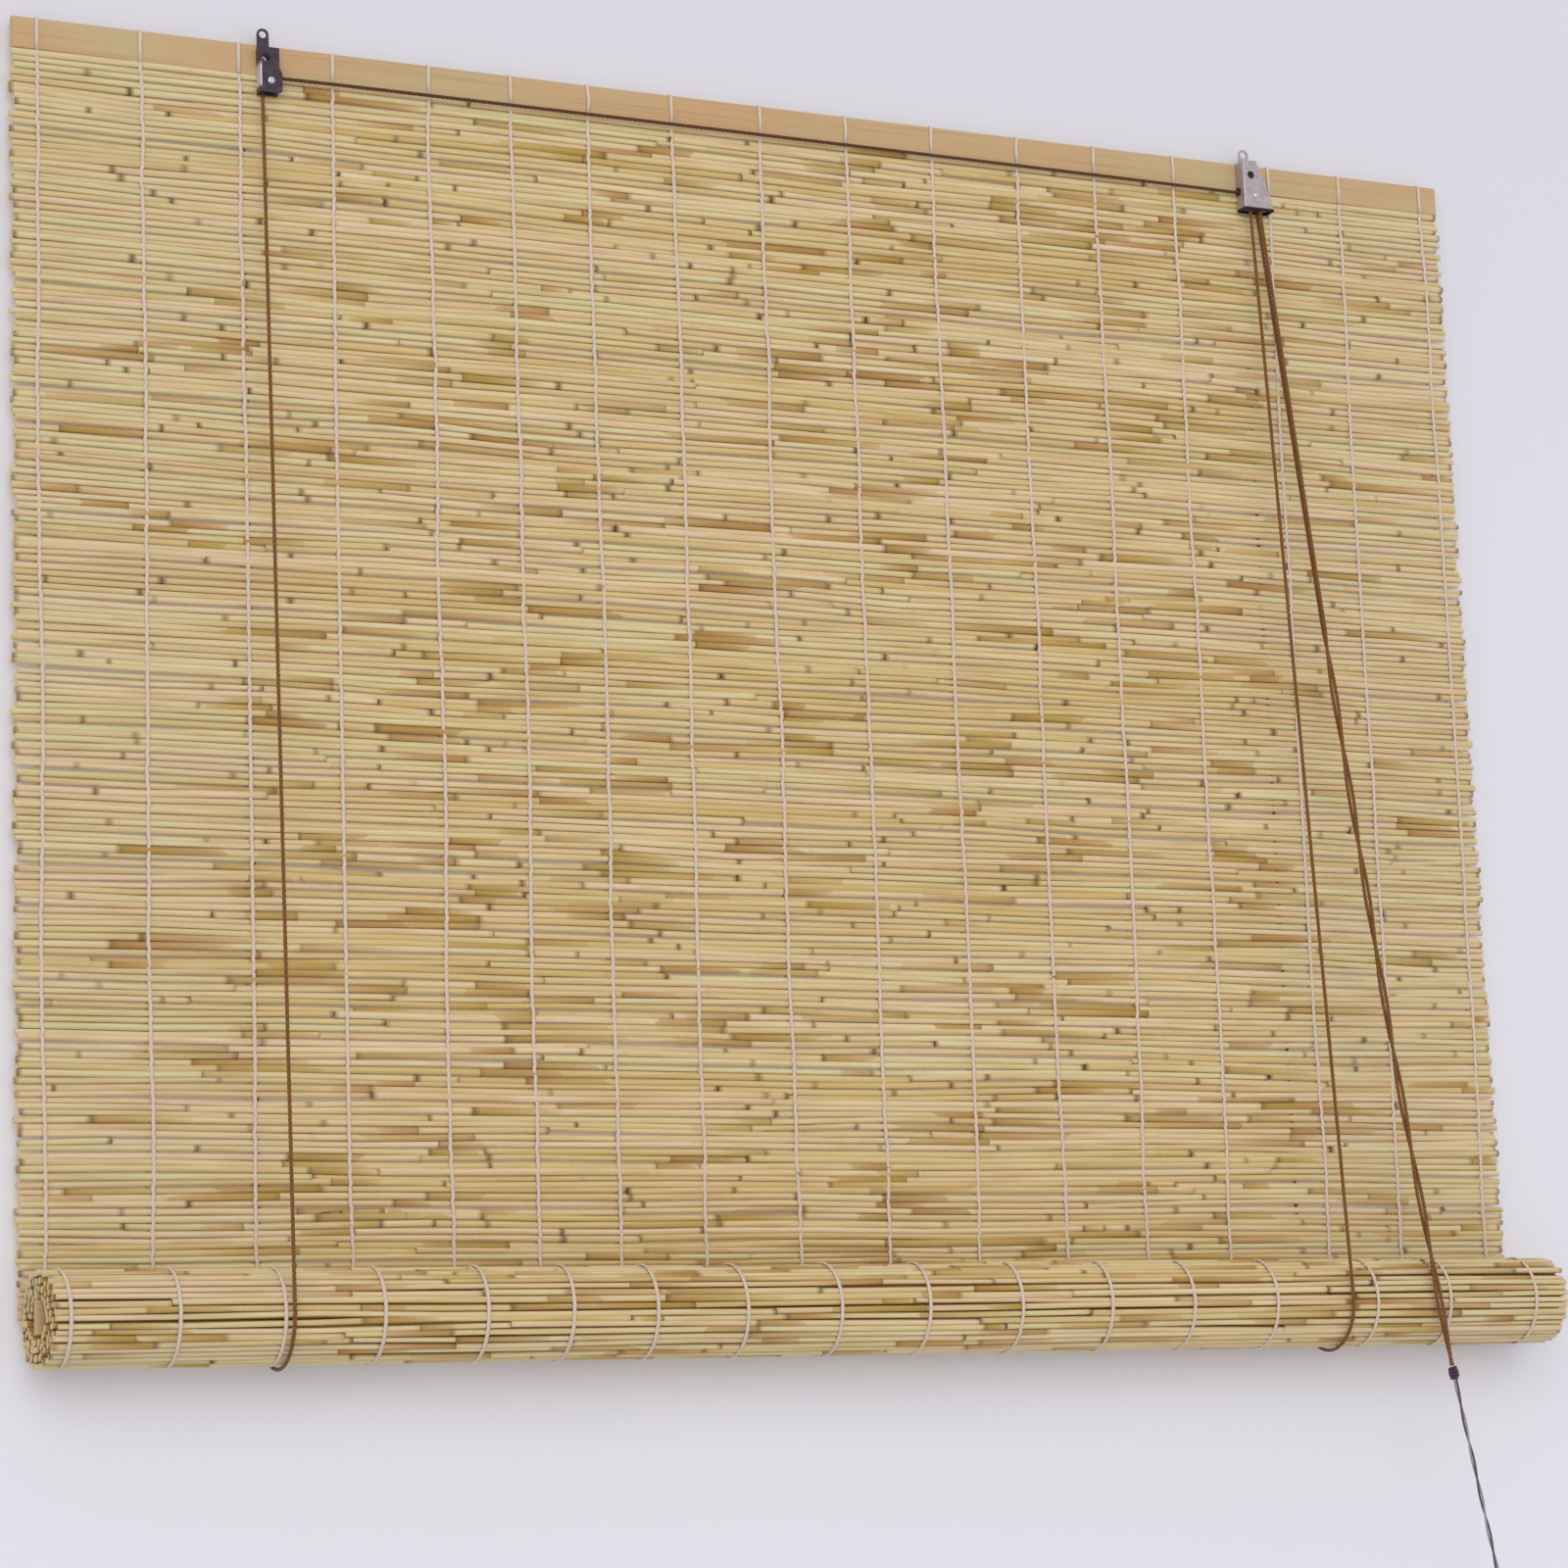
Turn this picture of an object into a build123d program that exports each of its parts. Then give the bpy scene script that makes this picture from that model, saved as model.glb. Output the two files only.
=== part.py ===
from build123d import *
import os
from math import atan, cos, pi, radians, sin, sqrt, tan

# A reed blind that rolls up from the bottom on two cord slings, half raised.
# Millimetres. +X right, +Y to the wall, +Z up. The origin is midway between the two
# hang holes, in the plane of the head slat's front face.

# Overall layout
blind_width = 1200.0
hang_inset = 185.0          # hang holes in from the blind's ends
hang_drop = 8.0             # hang holes down to the slat's top edge
running_gap = 0.3           # between pieces that move past each other
shaft_gap = 0.05            # radial clearance of a wheel or roller on its pin
overrun = 1.0               # how far a cut passes the face that it leaves

# Head slat and the lath in the roll's core
slat_height = 23.0
slat_thick = 5.8
slat_edge_r = 1.0
lath_height = 23.0
lath_thick = 5.8

# Reed mat: one wall of horizontal reeds
reed_pitch = 4.7
reed_rows = 190
mat_thick = 4.7
ridge_rise = 0.34           # a reed's crest above the valley beside it
slit_count = 16             # the wider gaps between reeds
slit_height = 0.8
slit_length_share = 0.62    # of the bay between two warp threads
slit_row_shares = 0.618     # of the mat's height, from one slit to the next
slit_bay_shares = 0.43      # of the mat's width

# Roll: the lower part of the mat, wound towards the front
roll_turns = 4
turn_gap = 0.3
roll_slip = 13.0            # how far the winding has crept past the mat's right edge
roll_short = 3.0            # and back from its left edge

# Warp threads: places from each housing out to the blind's end, and between the housings
left_thread_shares = (0.065, 0.476, 0.9)
right_thread_shares = (0.01, 0.42, 0.9)
middle_thread_shares = (0.05, 0.143, 0.223, 0.3, 0.385, 0.477, 0.567, 0.66, 0.754, 0.84, 0.93)
thread_clear = 1.5          # between a thread's middle and a housing, at the least
thread_width = 2.4
thread_proud = 0.8
thread_end_rise = 8.0       # front threads stop this far above the roll's axis
roll_thread_end = 130.0     # degrees of the upper half turn that a thread covers
under_flats = 8             # flats of a thread round the roll's lower half turn
over_flats = 6              # and over its upper half turn

# Cords
cord_d = 3.0
cord_sides = 8              # flats round a cord's plain solid
sling_flats = 12            # flats along a cord where it passes round something
turn_flats = 6
twine_d = 3.6
strand_pitch = 3.3          # the two pull strands, centre to centre
arc_share = 0.45            # of the shorter run, taken up by a bend in a cord
cord_line_drop = 24.5       # slat's top edge to the head cord
left_sling_shift = -13.0    # from the hang holes to where the slings lie on the roll
right_sling_shift = -1.0
cord_joint_gap = 0.2        # between the ends of two stretches of one cord
knot_gap = 0.4

# Folded sheet housings
sheet = 1.2
bend_r = 1.0
tongue_width = 9.0
hang_hole_r = 2.75
screw_head_r = 2.9
screw_head_h = 1.5
screw_shank_r = 1.5
screw_length = 5.0
screw_drop = 12.0           # slat's top edge to the fixing screws
access_hole_r = 3.2
axle_r = 1.5
rivet_head_r = 2.5
rivet_head_h = 0.9

# Left housing, with one wheel
left_edge = -5.2            # from the hang hole
left_top_width = 14.4
left_bottom_width = 16.6
left_top_drop = 4.5         # slat's top edge to the housing's top
left_height = 33.5
left_depth = 10.5
left_step_drop = 19.0       # slat's top edge to where the plate widens
left_step_height = 5.0
left_axle_x = 3.0           # from the hang hole
left_screw_x = -0.6
left_corner_r = 1.8
left_groove_r = 3.2
left_flange_r = 6.6
left_rim = 1.1

# Right housing: the cord lock, with two sheaves and a jam roller
lock_edge = -8.0            # from the hang hole
lock_top_width = 12.5
lock_bottom_width = 27.5
lock_height = 41.0
lock_axle_x = 3.5
lock_screw_x = -1.0
sheave_width = 4.6
sheave_groove_r = 2.7
sheave_flange_r = 6.0
sheave_rim = 0.5
jam_r = 2.8
jam_pin_r = 1.2
jam_drop = 34.5             # slat's top edge to the roller at rest
jam_travel = 3.0
jam_groove_depth = 0.7
eyelet_bore_r = 2.0
eyelet_tube_r = 2.6
eyelet_flange_r = 3.5
eyelet_flange_t = 0.8

# Staples that hold the dead ends of the lift cords behind the slat
staple_wire = 1.2           # flat wire, as wide as it is thick
staple_bite = 3.0
staple_drop = 11.0
dead_end_rise = 6.0         # cord end above its staple

# Pull cord below the lock: its route, chosen by eye, and its knots
pull_bend = (461.6, -49.8, -651.0)
pull_at_roll = (489.6, -70.4, -932.0)
pull_knot_top = (494.6, -73.4, -976.0)
twine_end = (520.0, -86.5, -1157.0)
knot_r = 4.2
knot_length = 11.0
end_knot_r = 3.8
end_knot_length = 8.0

# Worked out from the sizes above
half = blind_width / 2
hang_spacing = blind_width - hang_inset * 2
cord_r = cord_d / 2
slat_top = -hang_drop
slat_bottom = slat_top - slat_height
mat_front = slat_thick - thread_proud - running_gap - mat_thick
mat_back = mat_front + mat_thick
roll_z = slat_bottom - reed_rows * reed_pitch
turn_pitch = mat_thick + turn_gap
core_r = sqrt(lath_height**2 + lath_thick**2) / 2 + running_gap
upper_r = core_r + mat_thick + (roll_turns - 1) * turn_pitch
roll_radius = upper_r + turn_pitch / 2
roll_y = mat_back - roll_radius
upper_y = roll_y - turn_pitch / 2
sling_r = roll_radius + thread_proud + running_gap + cord_r
front_y = roll_y - sling_r
back_y = roll_y + sling_r
cord_line_z = slat_top - cord_line_drop

left_hang_x = -hang_spacing / 2
left_pin_x = left_hang_x + left_axle_x
left_line_r = left_groove_r + running_gap + cord_r
left_pin_z = cord_line_z - left_line_r
left_mid_y = -left_depth / 2
left_top_z = slat_top - left_top_drop
left_mouth_z = left_top_z - left_height
left_sling_x = left_hang_x + left_sling_shift

lock_hang_x = hang_spacing / 2
lock_pin_x = lock_hang_x + lock_axle_x
lock_line_r = sheave_groove_r + running_gap + cord_r
lock_pin_z = cord_line_z - lock_line_r
lock_depth = sheet * 2 + sheave_width * 2 + running_gap * 3
back_sheave_y = -sheet - running_gap - sheave_width / 2
front_sheave_y = back_sheave_y - sheave_width - running_gap
lock_mouth_z = slat_top - lock_height
lock_left_x = lock_hang_x + lock_edge
lock_slope = (lock_bottom_width - lock_top_width) / lock_height
jam_x = lock_pin_x + lock_line_r + cord_r + running_gap + jam_r
jam_z = slat_top - jam_drop
pulled_x = lock_pin_x + lock_line_r
lifted_x = lock_pin_x - lock_line_r
right_sling_x = lock_hang_x + right_sling_shift
strand_offset = strand_pitch / 2 * sqrt(1 / 2)

left_outer = left_hang_x + left_edge - thread_clear
left_inner = left_hang_x + left_edge + left_bottom_width + thread_clear
lock_inner = lock_left_x - eyelet_flange_t - thread_clear
lock_outer = lock_left_x + lock_bottom_width + thread_clear
thread_xs = [left_outer - share * (half + left_outer) for share in reversed(left_thread_shares)]
thread_xs += [left_inner + share * (lock_inner - left_inner) for share in middle_thread_shares]
thread_xs += [lock_outer + share * (half - lock_outer) for share in right_thread_shares]


def block(x0, x1, y0, y1, z0, z1):
    """A box between two corners."""
    centre = Pos((x0 + x1) / 2, (y0 + y1) / 2, (z0 + z1) / 2)
    return centre * Box(x1 - x0, y1 - y0, z1 - z0)


def rod(x, y, z, radius, length, way):
    """A round bar from a point, along a unit direction."""
    base = Plane(origin=(x, y, z), z_dir=way)
    return extrude(base * Circle(radius), amount=length)


def upright_plate(points, y_back, y_front):
    """A plate parallel to the slat's face, from its corners in X and Z."""
    face = make_face(Polyline(*points, close=True).edges())
    plane = Plane(origin=(0, y_back, 0), x_dir=(1, 0, 0), z_dir=(0, -1, 0))
    return extrude(plane * face, amount=y_back - y_front)


def along_width(edges, x0, x1):
    """A solid of one section in Y and Z, from x0 to x1."""
    plane = Plane(origin=(x0, 0, 0), x_dir=(0, 1, 0), z_dir=(1, 0, 0))
    return extrude(plane * make_face(edges), amount=x1 - x0)


def turned(points, x, y, z):
    """A turned piece about an axis along Y, from its half section (radius, place)."""
    face = make_face(Polyline(*points, close=True).edges())
    solid = revolve(face, axis=Axis.Y)
    return Pos(x, y, z) * solid


def tube(path, radius):
    """A cord along a path, with its length told against its volume."""
    start = Plane(origin=path @ 0, z_dir=path % 0)
    section = start * RegularPolygon(radius, cord_sides)
    solid = sweep(section, path=path, transition=Transition.RIGHT)
    print(f"  cord length {path.length:.1f}, volume share {solid.volume / (section.area * path.length):.4f}")
    return solid


def bent(points):
    """A cord's path: straight runs joined by arcs as large as their shorter runs allow."""
    spots = [Vector(*point) for point in points]
    radii = []
    for before, at, after in zip(spots, spots[1:], spots[2:]):
        turn = radians((at - before).get_angle(after - at))
        shorter = min((at - before).length, (after - at).length)
        radii.append(arc_share * shorter / tan(turn / 2))
    print("  arc radii", [round(radius, 1) for radius in radii])
    return FilletPolyline(*points, radius=radii)


def flats(across, along, radius, start, stop, count):
    """Corners of a line in flats that touch an arc from outside, between the arc's two ends."""
    step = (stop - start) / count
    corner = radius / cos(step / 2)
    corners = [(corner, start + (flat + 1 / 2) * step) for flat in range(count)]
    polar = [(radius, start)] + corners + [(radius, stop)]
    return [(across + r * cos(angle), along + r * sin(angle)) for r, angle in polar]


def tongue(x, top):
    """The tab that hangs on a hook, with its hole, up from the top of a housing's back plate."""
    tab_r = tongue_width / 2
    tab = block(x - tab_r, x + tab_r, -sheet, 0, top - bend_r, 0)
    tab += rod(x, 0, 0, tab_r, sheet, (0, -1, 0))
    return tab - rod(x, overrun, 0, hang_hole_r, sheet + overrun * 2, (0, -1, 0))


def through(x, z, radius, depth):
    """A drill along Y through a housing, from behind its back plate."""
    return rod(x, overrun, z, radius, depth + overrun * 2, (0, -1, 0))


def front_drill(x, z, radius, depth):
    """A drill along Y through a housing's front plate alone."""
    return rod(x, -depth + sheet + overrun, z, radius, sheet + overrun * 2, (0, -1, 0))


def head_slat():
    slat = block(-half, half, 0, slat_thick, slat_bottom, slat_top)
    return fillet(slat.edges().filter_by(Axis.X), slat_edge_r)


def reed_chain(crest_y, valley_y):
    """The ridged line of reeds down one face of the mat, two flats to a reed."""
    points = [(valley_y, slat_bottom)]
    for row in range(reed_rows):
        top = slat_bottom - row * reed_pitch
        points += [(crest_y, top - reed_pitch / 2), (valley_y, top - reed_pitch)]
    return points


def reed_mat():
    front = reed_chain(mat_front, mat_front + ridge_rise)
    back = reed_chain(mat_back, mat_back - ridge_rise)
    wall = along_width(Polyline(*front, *reversed(back), close=True).edges(), -half, half)
    bays = list(zip(thread_xs, thread_xs[1:]))
    slits = []
    for count in range(slit_count):
        row = 1 + int((count * slit_row_shares) % 1 * (reed_rows - 2))
        left, right = bays[int((count * slit_bay_shares) % 1 * len(bays))]
        inset = (right - left) * (1 - slit_length_share) / 2
        z = slat_bottom - row * reed_pitch
        slits.append(block(left + inset, right - inset, mat_front - overrun, mat_back + overrun,
                           z - slit_height / 2, z + slit_height / 2))
    return wall - slits


def scallops(radius, centre_y, start, count):
    """Reeds round half a turn of the roll, from an angle at the back and on under it, two flats to a reed."""
    points = []
    step = pi / count
    for corner in range(count * 2 + 1):
        angle = start + corner * step / 2
        r = radius if corner % 2 else radius - ridge_rise
        points.append((centre_y + r * cos(angle), roll_z - r * sin(angle)))
    return Polyline(*points).edges()


def half_turn(radius, centre_y, below):
    """Half a smooth turn of the spiral, under or over the axis."""
    side = -1 if below else 1
    return ThreePointArc((centre_y + radius, roll_z), (centre_y, roll_z + side * radius),
                         (centre_y - radius, roll_z))


def mat_roll():
    edges = scallops(roll_radius, roll_y, 0, round(pi * roll_radius / reed_pitch))
    edges += scallops(upper_r, upper_y, pi, round(pi * upper_r / reed_pitch))
    for turn in range(roll_turns):
        shrink = turn * turn_pitch
        if turn:
            edges.append(half_turn(roll_radius - shrink, roll_y, True))
            edges.append(half_turn(upper_r - shrink, upper_y, False))
        edges.append(half_turn(roll_radius - mat_thick - shrink, roll_y, True))
        edges.append(half_turn(upper_r - mat_thick - shrink, upper_y, False))
    outer_y = roll_y + roll_radius
    last_y = outer_y - roll_turns * turn_pitch
    edges.append(Line((outer_y - mat_thick, roll_z), (outer_y - ridge_rise, roll_z)))
    edges.append(Line((outer_y - turn_pitch - ridge_rise, roll_z), (outer_y - turn_pitch, roll_z)))
    edges.append(Line((last_y - mat_thick, roll_z), (last_y, roll_z)))
    return along_width(edges, roll_short - half, half + roll_slip)


def bottom_lath():
    return block(roll_short - half, half + roll_slip, upper_y - lath_thick / 2, upper_y + lath_thick / 2,
                 roll_z - lath_height / 2, roll_z + lath_height / 2)


def roll_thread(x):
    """A warp thread round the outside of the roll."""
    sides = []
    for lift in (0, thread_proud):
        under = flats(roll_y, roll_z, roll_radius + lift, 0, -pi, under_flats)
        over = flats(upper_y, roll_z, upper_r + lift, pi, pi - radians(roll_thread_end), over_flats)
        sides.append(under[:-1] + over[1:])
    outline = Polyline(*sides[0], *reversed(sides[1]), close=True)
    return along_width(outline.edges(), x - thread_width / 2, x + thread_width / 2)


def thread_ribbon(x, y0, y1, z0, z1):
    return block(x - thread_width / 2, x + thread_width / 2, y0, y1, z0, z1)


def slat_binding(x):
    """A warp thread's loop over the slat: down its front, over its top and down its back."""
    loop = thread_ribbon(x, -thread_proud, slat_thick + thread_proud, slat_bottom, slat_top + thread_proud)
    return loop - block(x - thread_width, x + thread_width, 0, slat_thick, slat_bottom - overrun, slat_top)


def left_housing():
    x0 = left_hang_x + left_edge
    x1 = x0 + left_top_width
    x2 = x0 + left_bottom_width
    step = slat_top - left_step_drop
    outline = [(x0, left_top_z), (x1, left_top_z), (x1, step), (x2, step - left_step_height),
               (x2, left_mouth_z), (x0, left_mouth_z)]
    shell = upright_plate(outline, 0, -left_depth)
    shell = fillet(shell.edges().filter_by(Axis.Z).group_by(Axis.X)[0], bend_r)
    shell = fillet(shell.edges().filter_by(Axis.Y).group_by(Axis.X)[-1].group_by(Axis.Z)[0], left_corner_r)
    shell -= block(x0 + sheet, x2 + overrun, sheet - left_depth, -sheet,
                   left_mouth_z - overrun, left_top_z + overrun)
    shell += tongue(left_hang_x, left_top_z)
    screw_x = left_hang_x + left_screw_x
    screw_z = slat_top - screw_drop
    shell -= through(left_pin_x, left_pin_z, axle_r, left_depth)
    shell -= through(screw_x, screw_z, screw_shank_r, sheet)
    return shell - front_drill(screw_x, screw_z, access_hole_r, left_depth)


def lock_housing():
    x0 = lock_left_x
    outline = [(x0, slat_top), (x0 + lock_top_width, slat_top),
               (x0 + lock_bottom_width, lock_mouth_z), (x0, lock_mouth_z)]
    shell = upright_plate(outline, 0, -lock_depth)
    shell = fillet(shell.edges().filter_by(Axis.Z).group_by(Axis.X)[0], bend_r)
    skew = sheet / cos(atan(lock_slope))
    high = slat_top + overrun
    low = lock_mouth_z - overrun
    inside = [(x0 + sheet, high), (x0 + lock_top_width - skew - overrun * lock_slope, high),
              (x0 + lock_bottom_width - skew + overrun * lock_slope, low), (x0 + sheet, low)]
    shell -= upright_plate(inside, -sheet, sheet - lock_depth)
    shell += tongue(lock_hang_x, slat_top)
    screw_x = lock_hang_x + lock_screw_x
    screw_z = slat_top - screw_drop
    shell -= through(lock_pin_x, lock_pin_z, axle_r, lock_depth)
    shell -= through(screw_x, screw_z, screw_shank_r, sheet)
    shell -= front_drill(screw_x, screw_z, access_hole_r, lock_depth)
    shell -= rod(x0 - overrun, back_sheave_y, cord_line_z, eyelet_tube_r, sheet + overrun * 2, (1, 0, 0))
    for y_from in (-sheet + jam_groove_depth, sheet - lock_depth + running_gap):
        shell -= jam_groove(y_from, jam_groove_depth + running_gap)
    return shell


def jam_path():
    """The roller's way down its grooves, beside the sloping wall."""
    length = sqrt(1 + lock_slope**2)
    return lock_slope / length, -1 / length


def jam_groove(y_from, depth):
    """A blind groove for the roller's pin on the inside of one plate."""
    across, down = jam_path()
    width = jam_pin_r + running_gap
    ends = [(jam_x, jam_z), (jam_x + across * jam_travel, jam_z + down * jam_travel)]
    cut = None
    for x, z in ends:
        end = rod(x, y_from, z, width, depth, (0, -1, 0))
        cut = end if cut is None else cut + end
    sideways = (-down * width, across * width)
    corners = [(ends[0][0] + sideways[0], ends[0][1] + sideways[1]),
               (ends[1][0] + sideways[0], ends[1][1] + sideways[1]),
               (ends[1][0] - sideways[0], ends[1][1] - sideways[1]),
               (ends[0][0] - sideways[0], ends[0][1] - sideways[1])]
    return cut + upright_plate(corners, y_from, y_from - depth)


def wheel(x, y, z, width, bore, groove, flange, rim):
    """A grooved cord wheel."""
    side = width / 2
    floor = cord_r + running_gap
    profile = [(bore, -side), (flange, -side), (flange, rim - side), (groove, -floor),
               (groove, floor), (flange, side - rim), (flange, side), (bore, side)]
    return turned(profile, x, y, z)


def sheave(y):
    """A straight-sided wheel in the cord lock."""
    side = sheave_width / 2
    profile = [(axle_r + shaft_gap, -side), (sheave_flange_r, -side), (sheave_flange_r, sheave_rim - side),
               (sheave_groove_r, sheave_rim - side), (sheave_groove_r, side - sheave_rim),
               (sheave_flange_r, side - sheave_rim), (sheave_flange_r, side), (axle_r + shaft_gap, side)]
    return turned(profile, lock_pin_x, y, lock_pin_z)


def axle(x, z, depth):
    """A pin through both plates of a housing, riveted over in front."""
    profile = [(0, 0), (axle_r, 0), (axle_r, -depth), (rivet_head_r, -depth),
               (rivet_head_r, -depth - rivet_head_h / 2), (axle_r, -depth - rivet_head_h),
               (0, -depth - rivet_head_h)]
    return turned(profile, x, 0, z)


def screw(x):
    """A round-headed wood screw through a housing's back plate into the slat."""
    seat = -sheet
    profile = [(0, screw_length), (screw_shank_r, screw_length - screw_shank_r), (screw_shank_r, seat),
               (screw_head_r, seat), (screw_head_r, seat - screw_head_h / 2),
               (screw_shank_r, seat - screw_head_h), (0, seat - screw_head_h)]
    return turned(profile, x, 0, slat_top - screw_drop)


def jam_roller():
    room = lock_depth / 2 - sheet - running_gap
    pin = room + jam_groove_depth
    profile = [(0, -pin), (jam_pin_r, -pin), (jam_pin_r, -room), (jam_r, -room),
               (jam_r, room), (jam_pin_r, room), (jam_pin_r, pin), (0, pin)]
    return turned(profile, jam_x, -lock_depth / 2, jam_z)


def cord_eyelet():
    outside = lock_left_x - eyelet_flange_t
    ring = rod(outside, back_sheave_y, cord_line_z, eyelet_flange_r, eyelet_flange_t, (1, 0, 0))
    ring += rod(lock_left_x, back_sheave_y, cord_line_z, eyelet_tube_r, sheet, (1, 0, 0))
    length = eyelet_flange_t + sheet + overrun * 2
    return ring - rod(outside - overrun, back_sheave_y, cord_line_z, eyelet_bore_r, length, (1, 0, 0))


def cord_staple(x):
    """A flat wire staple over a lift cord's dead end, driven into the slat's back."""
    inside = cord_r + running_gap
    outside = inside + staple_wire
    tip_y = slat_thick - staple_bite
    z = slat_top - staple_drop
    solid = block(x - outside, x + outside, tip_y, back_y + outside, z - staple_wire / 2, z + staple_wire / 2)
    return solid - block(x - inside, x + inside, tip_y - overrun, back_y + inside,
                         z - staple_wire, z + staple_wire)


def head_cord():
    """The left lift cord from its wheel along the slat and over the lock's back sheave."""
    start_x = left_pin_x - left_line_r
    path = FilletPolyline((start_x, left_mid_y, left_mouth_z), (start_x, left_mid_y, cord_line_z),
                          (pulled_x, back_sheave_y, cord_line_z), (pulled_x, back_sheave_y, lock_mouth_z),
                          radius=[left_line_r, lock_line_r])
    return tube(path, cord_r)


def lift_turn():
    """The right lift cord over the lock's front sheave."""
    y = front_sheave_y
    over = flats(lock_pin_x, lock_pin_z, lock_line_r, pi, 0, turn_flats)
    path = [(lifted_x, lock_mouth_z)] + over[1:-1] + [(pulled_x, lock_mouth_z)]
    return tube(Polyline(*[(x, y, z) for x, z in path]), cord_r)


def front_run(x, y, z, sling_x):
    """A lift cord's straight run from a housing's mouth down to the front of the roll."""
    return tube(Line((x, y, z - cord_joint_gap), (sling_x, front_y, roll_z + cord_joint_gap)), cord_r)


def sling(x):
    """The part of a lift cord that passes under the roll and carries it."""
    under = flats(roll_y, roll_z, sling_r, pi, pi * 2, sling_flats)
    return tube(Polyline(*[(x, y, z) for y, z in under]), cord_r)


def back_run(x):
    """A lift cord's run behind the mat, up to its dead end under a staple."""
    top = slat_top - staple_drop + dead_end_rise
    return tube(Line((x, back_y, roll_z + cord_joint_gap), (x, back_y, top)), cord_r)


def pull_strand(y, shift):
    """One strand of the pull cord, from the lock's mouth past the roll to the knot."""
    route = [(pulled_x, y, lock_mouth_z - cord_joint_gap)]
    for x, at_y, z in (pull_bend, pull_at_roll, pull_knot_top):
        route.append((x + shift, at_y - shift, z))
    return tube(bent(route), cord_r)


def barrel(top, way, radius, length, end_r):
    """A knot pulled tight, as a plain barrel along the cord."""
    sections = []
    for reach, size in ((0, end_r), (length / 3, radius), (length * 2 / 3, radius), (length, end_r)):
        sections.append(Plane(origin=top + way * reach, z_dir=way) * RegularPolygon(size, cord_sides))
    return loft(sections, ruled=True)


def pull_end():
    """The knot below the roll, the twine tied to it, and the knot at the twine's end."""
    top = Vector(*pull_knot_top)
    way = (Vector(*twine_end) - top).normalized()
    knot_top = top + way * knot_gap
    knot_bottom = knot_top + way * knot_length
    end = Vector(*twine_end)
    knot = barrel(knot_top, way, knot_r, knot_length, strand_pitch / 2 + cord_r)
    twine = tube(Line(knot_bottom, end), twine_d / 2)
    last = barrel(end, way, end_knot_r, end_knot_length, twine_d / 2)
    return knot, twine, last


def main():
    os.makedirs("parts", exist_ok=True)
    knot, twine, last_knot = pull_end()
    front_end = roll_z + thread_end_rise
    nodes = {
        "head_slat": [head_slat()],
        "reed_mat": [reed_mat()],
        "slat_bindings": [slat_binding(x) for x in thread_xs],
        "mat_threads_front": [thread_ribbon(x, mat_front - thread_proud, mat_front, front_end, slat_bottom)
                              for x in thread_xs],
        "mat_threads_back": [thread_ribbon(x, mat_back, mat_back + thread_proud, roll_z, slat_bottom)
                             for x in thread_xs],
        "mat_roll": [mat_roll()],
        "roll_threads": [roll_thread(x) for x in thread_xs],
        "bottom_lath": [bottom_lath()],
        "left_housing": [left_housing()],
        "left_wheel": [wheel(left_pin_x, left_mid_y, left_pin_z, left_depth - sheet * 2 - running_gap * 2,
                             axle_r + shaft_gap, left_groove_r, left_flange_r, left_rim)],
        "left_axle": [axle(left_pin_x, left_pin_z, left_depth)],
        "lock_housing": [lock_housing()],
        "lock_back_sheave": [sheave(back_sheave_y)],
        "lock_front_sheave": [sheave(front_sheave_y)],
        "lock_axle": [axle(lock_pin_x, lock_pin_z, lock_depth)],
        "jam_roller": [jam_roller()],
        "cord_eyelet": [cord_eyelet()],
        "fixing_screws": [screw(left_hang_x + left_screw_x), screw(lock_hang_x + lock_screw_x)],
        "cord_staples": [cord_staple(left_sling_x), cord_staple(right_sling_x)],
        "head_cord": [head_cord()],
        "lift_cord_turn": [lift_turn()],
        "left_front_cord": [front_run(left_pin_x - left_line_r, left_mid_y, left_mouth_z, left_sling_x)],
        "right_front_cord": [front_run(lifted_x, front_sheave_y, lock_mouth_z, right_sling_x)],
        "left_cord_sling": [sling(left_sling_x)],
        "right_cord_sling": [sling(right_sling_x)],
        "left_back_cord": [back_run(left_sling_x)],
        "right_back_cord": [back_run(right_sling_x)],
        "pull_strand_back": [pull_strand(back_sheave_y, -strand_offset)],
        "pull_strand_front": [pull_strand(front_sheave_y, strand_offset)],
        "pull_knot": [knot],
        "pull_twine": [twine],
        "twine_end_knot": [last_knot],
    }
    for name, solids in nodes.items():
        shape = solids[0] if len(solids) == 1 else Compound(children=solids)
        export_step(shape, f"parts/{name}.step")


main()
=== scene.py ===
"""A reed roll-up blind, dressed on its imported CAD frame. Metres, in the frame of the part."""

import math

import bpy
import numpy as np
from mathutils import Matrix, Vector


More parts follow.
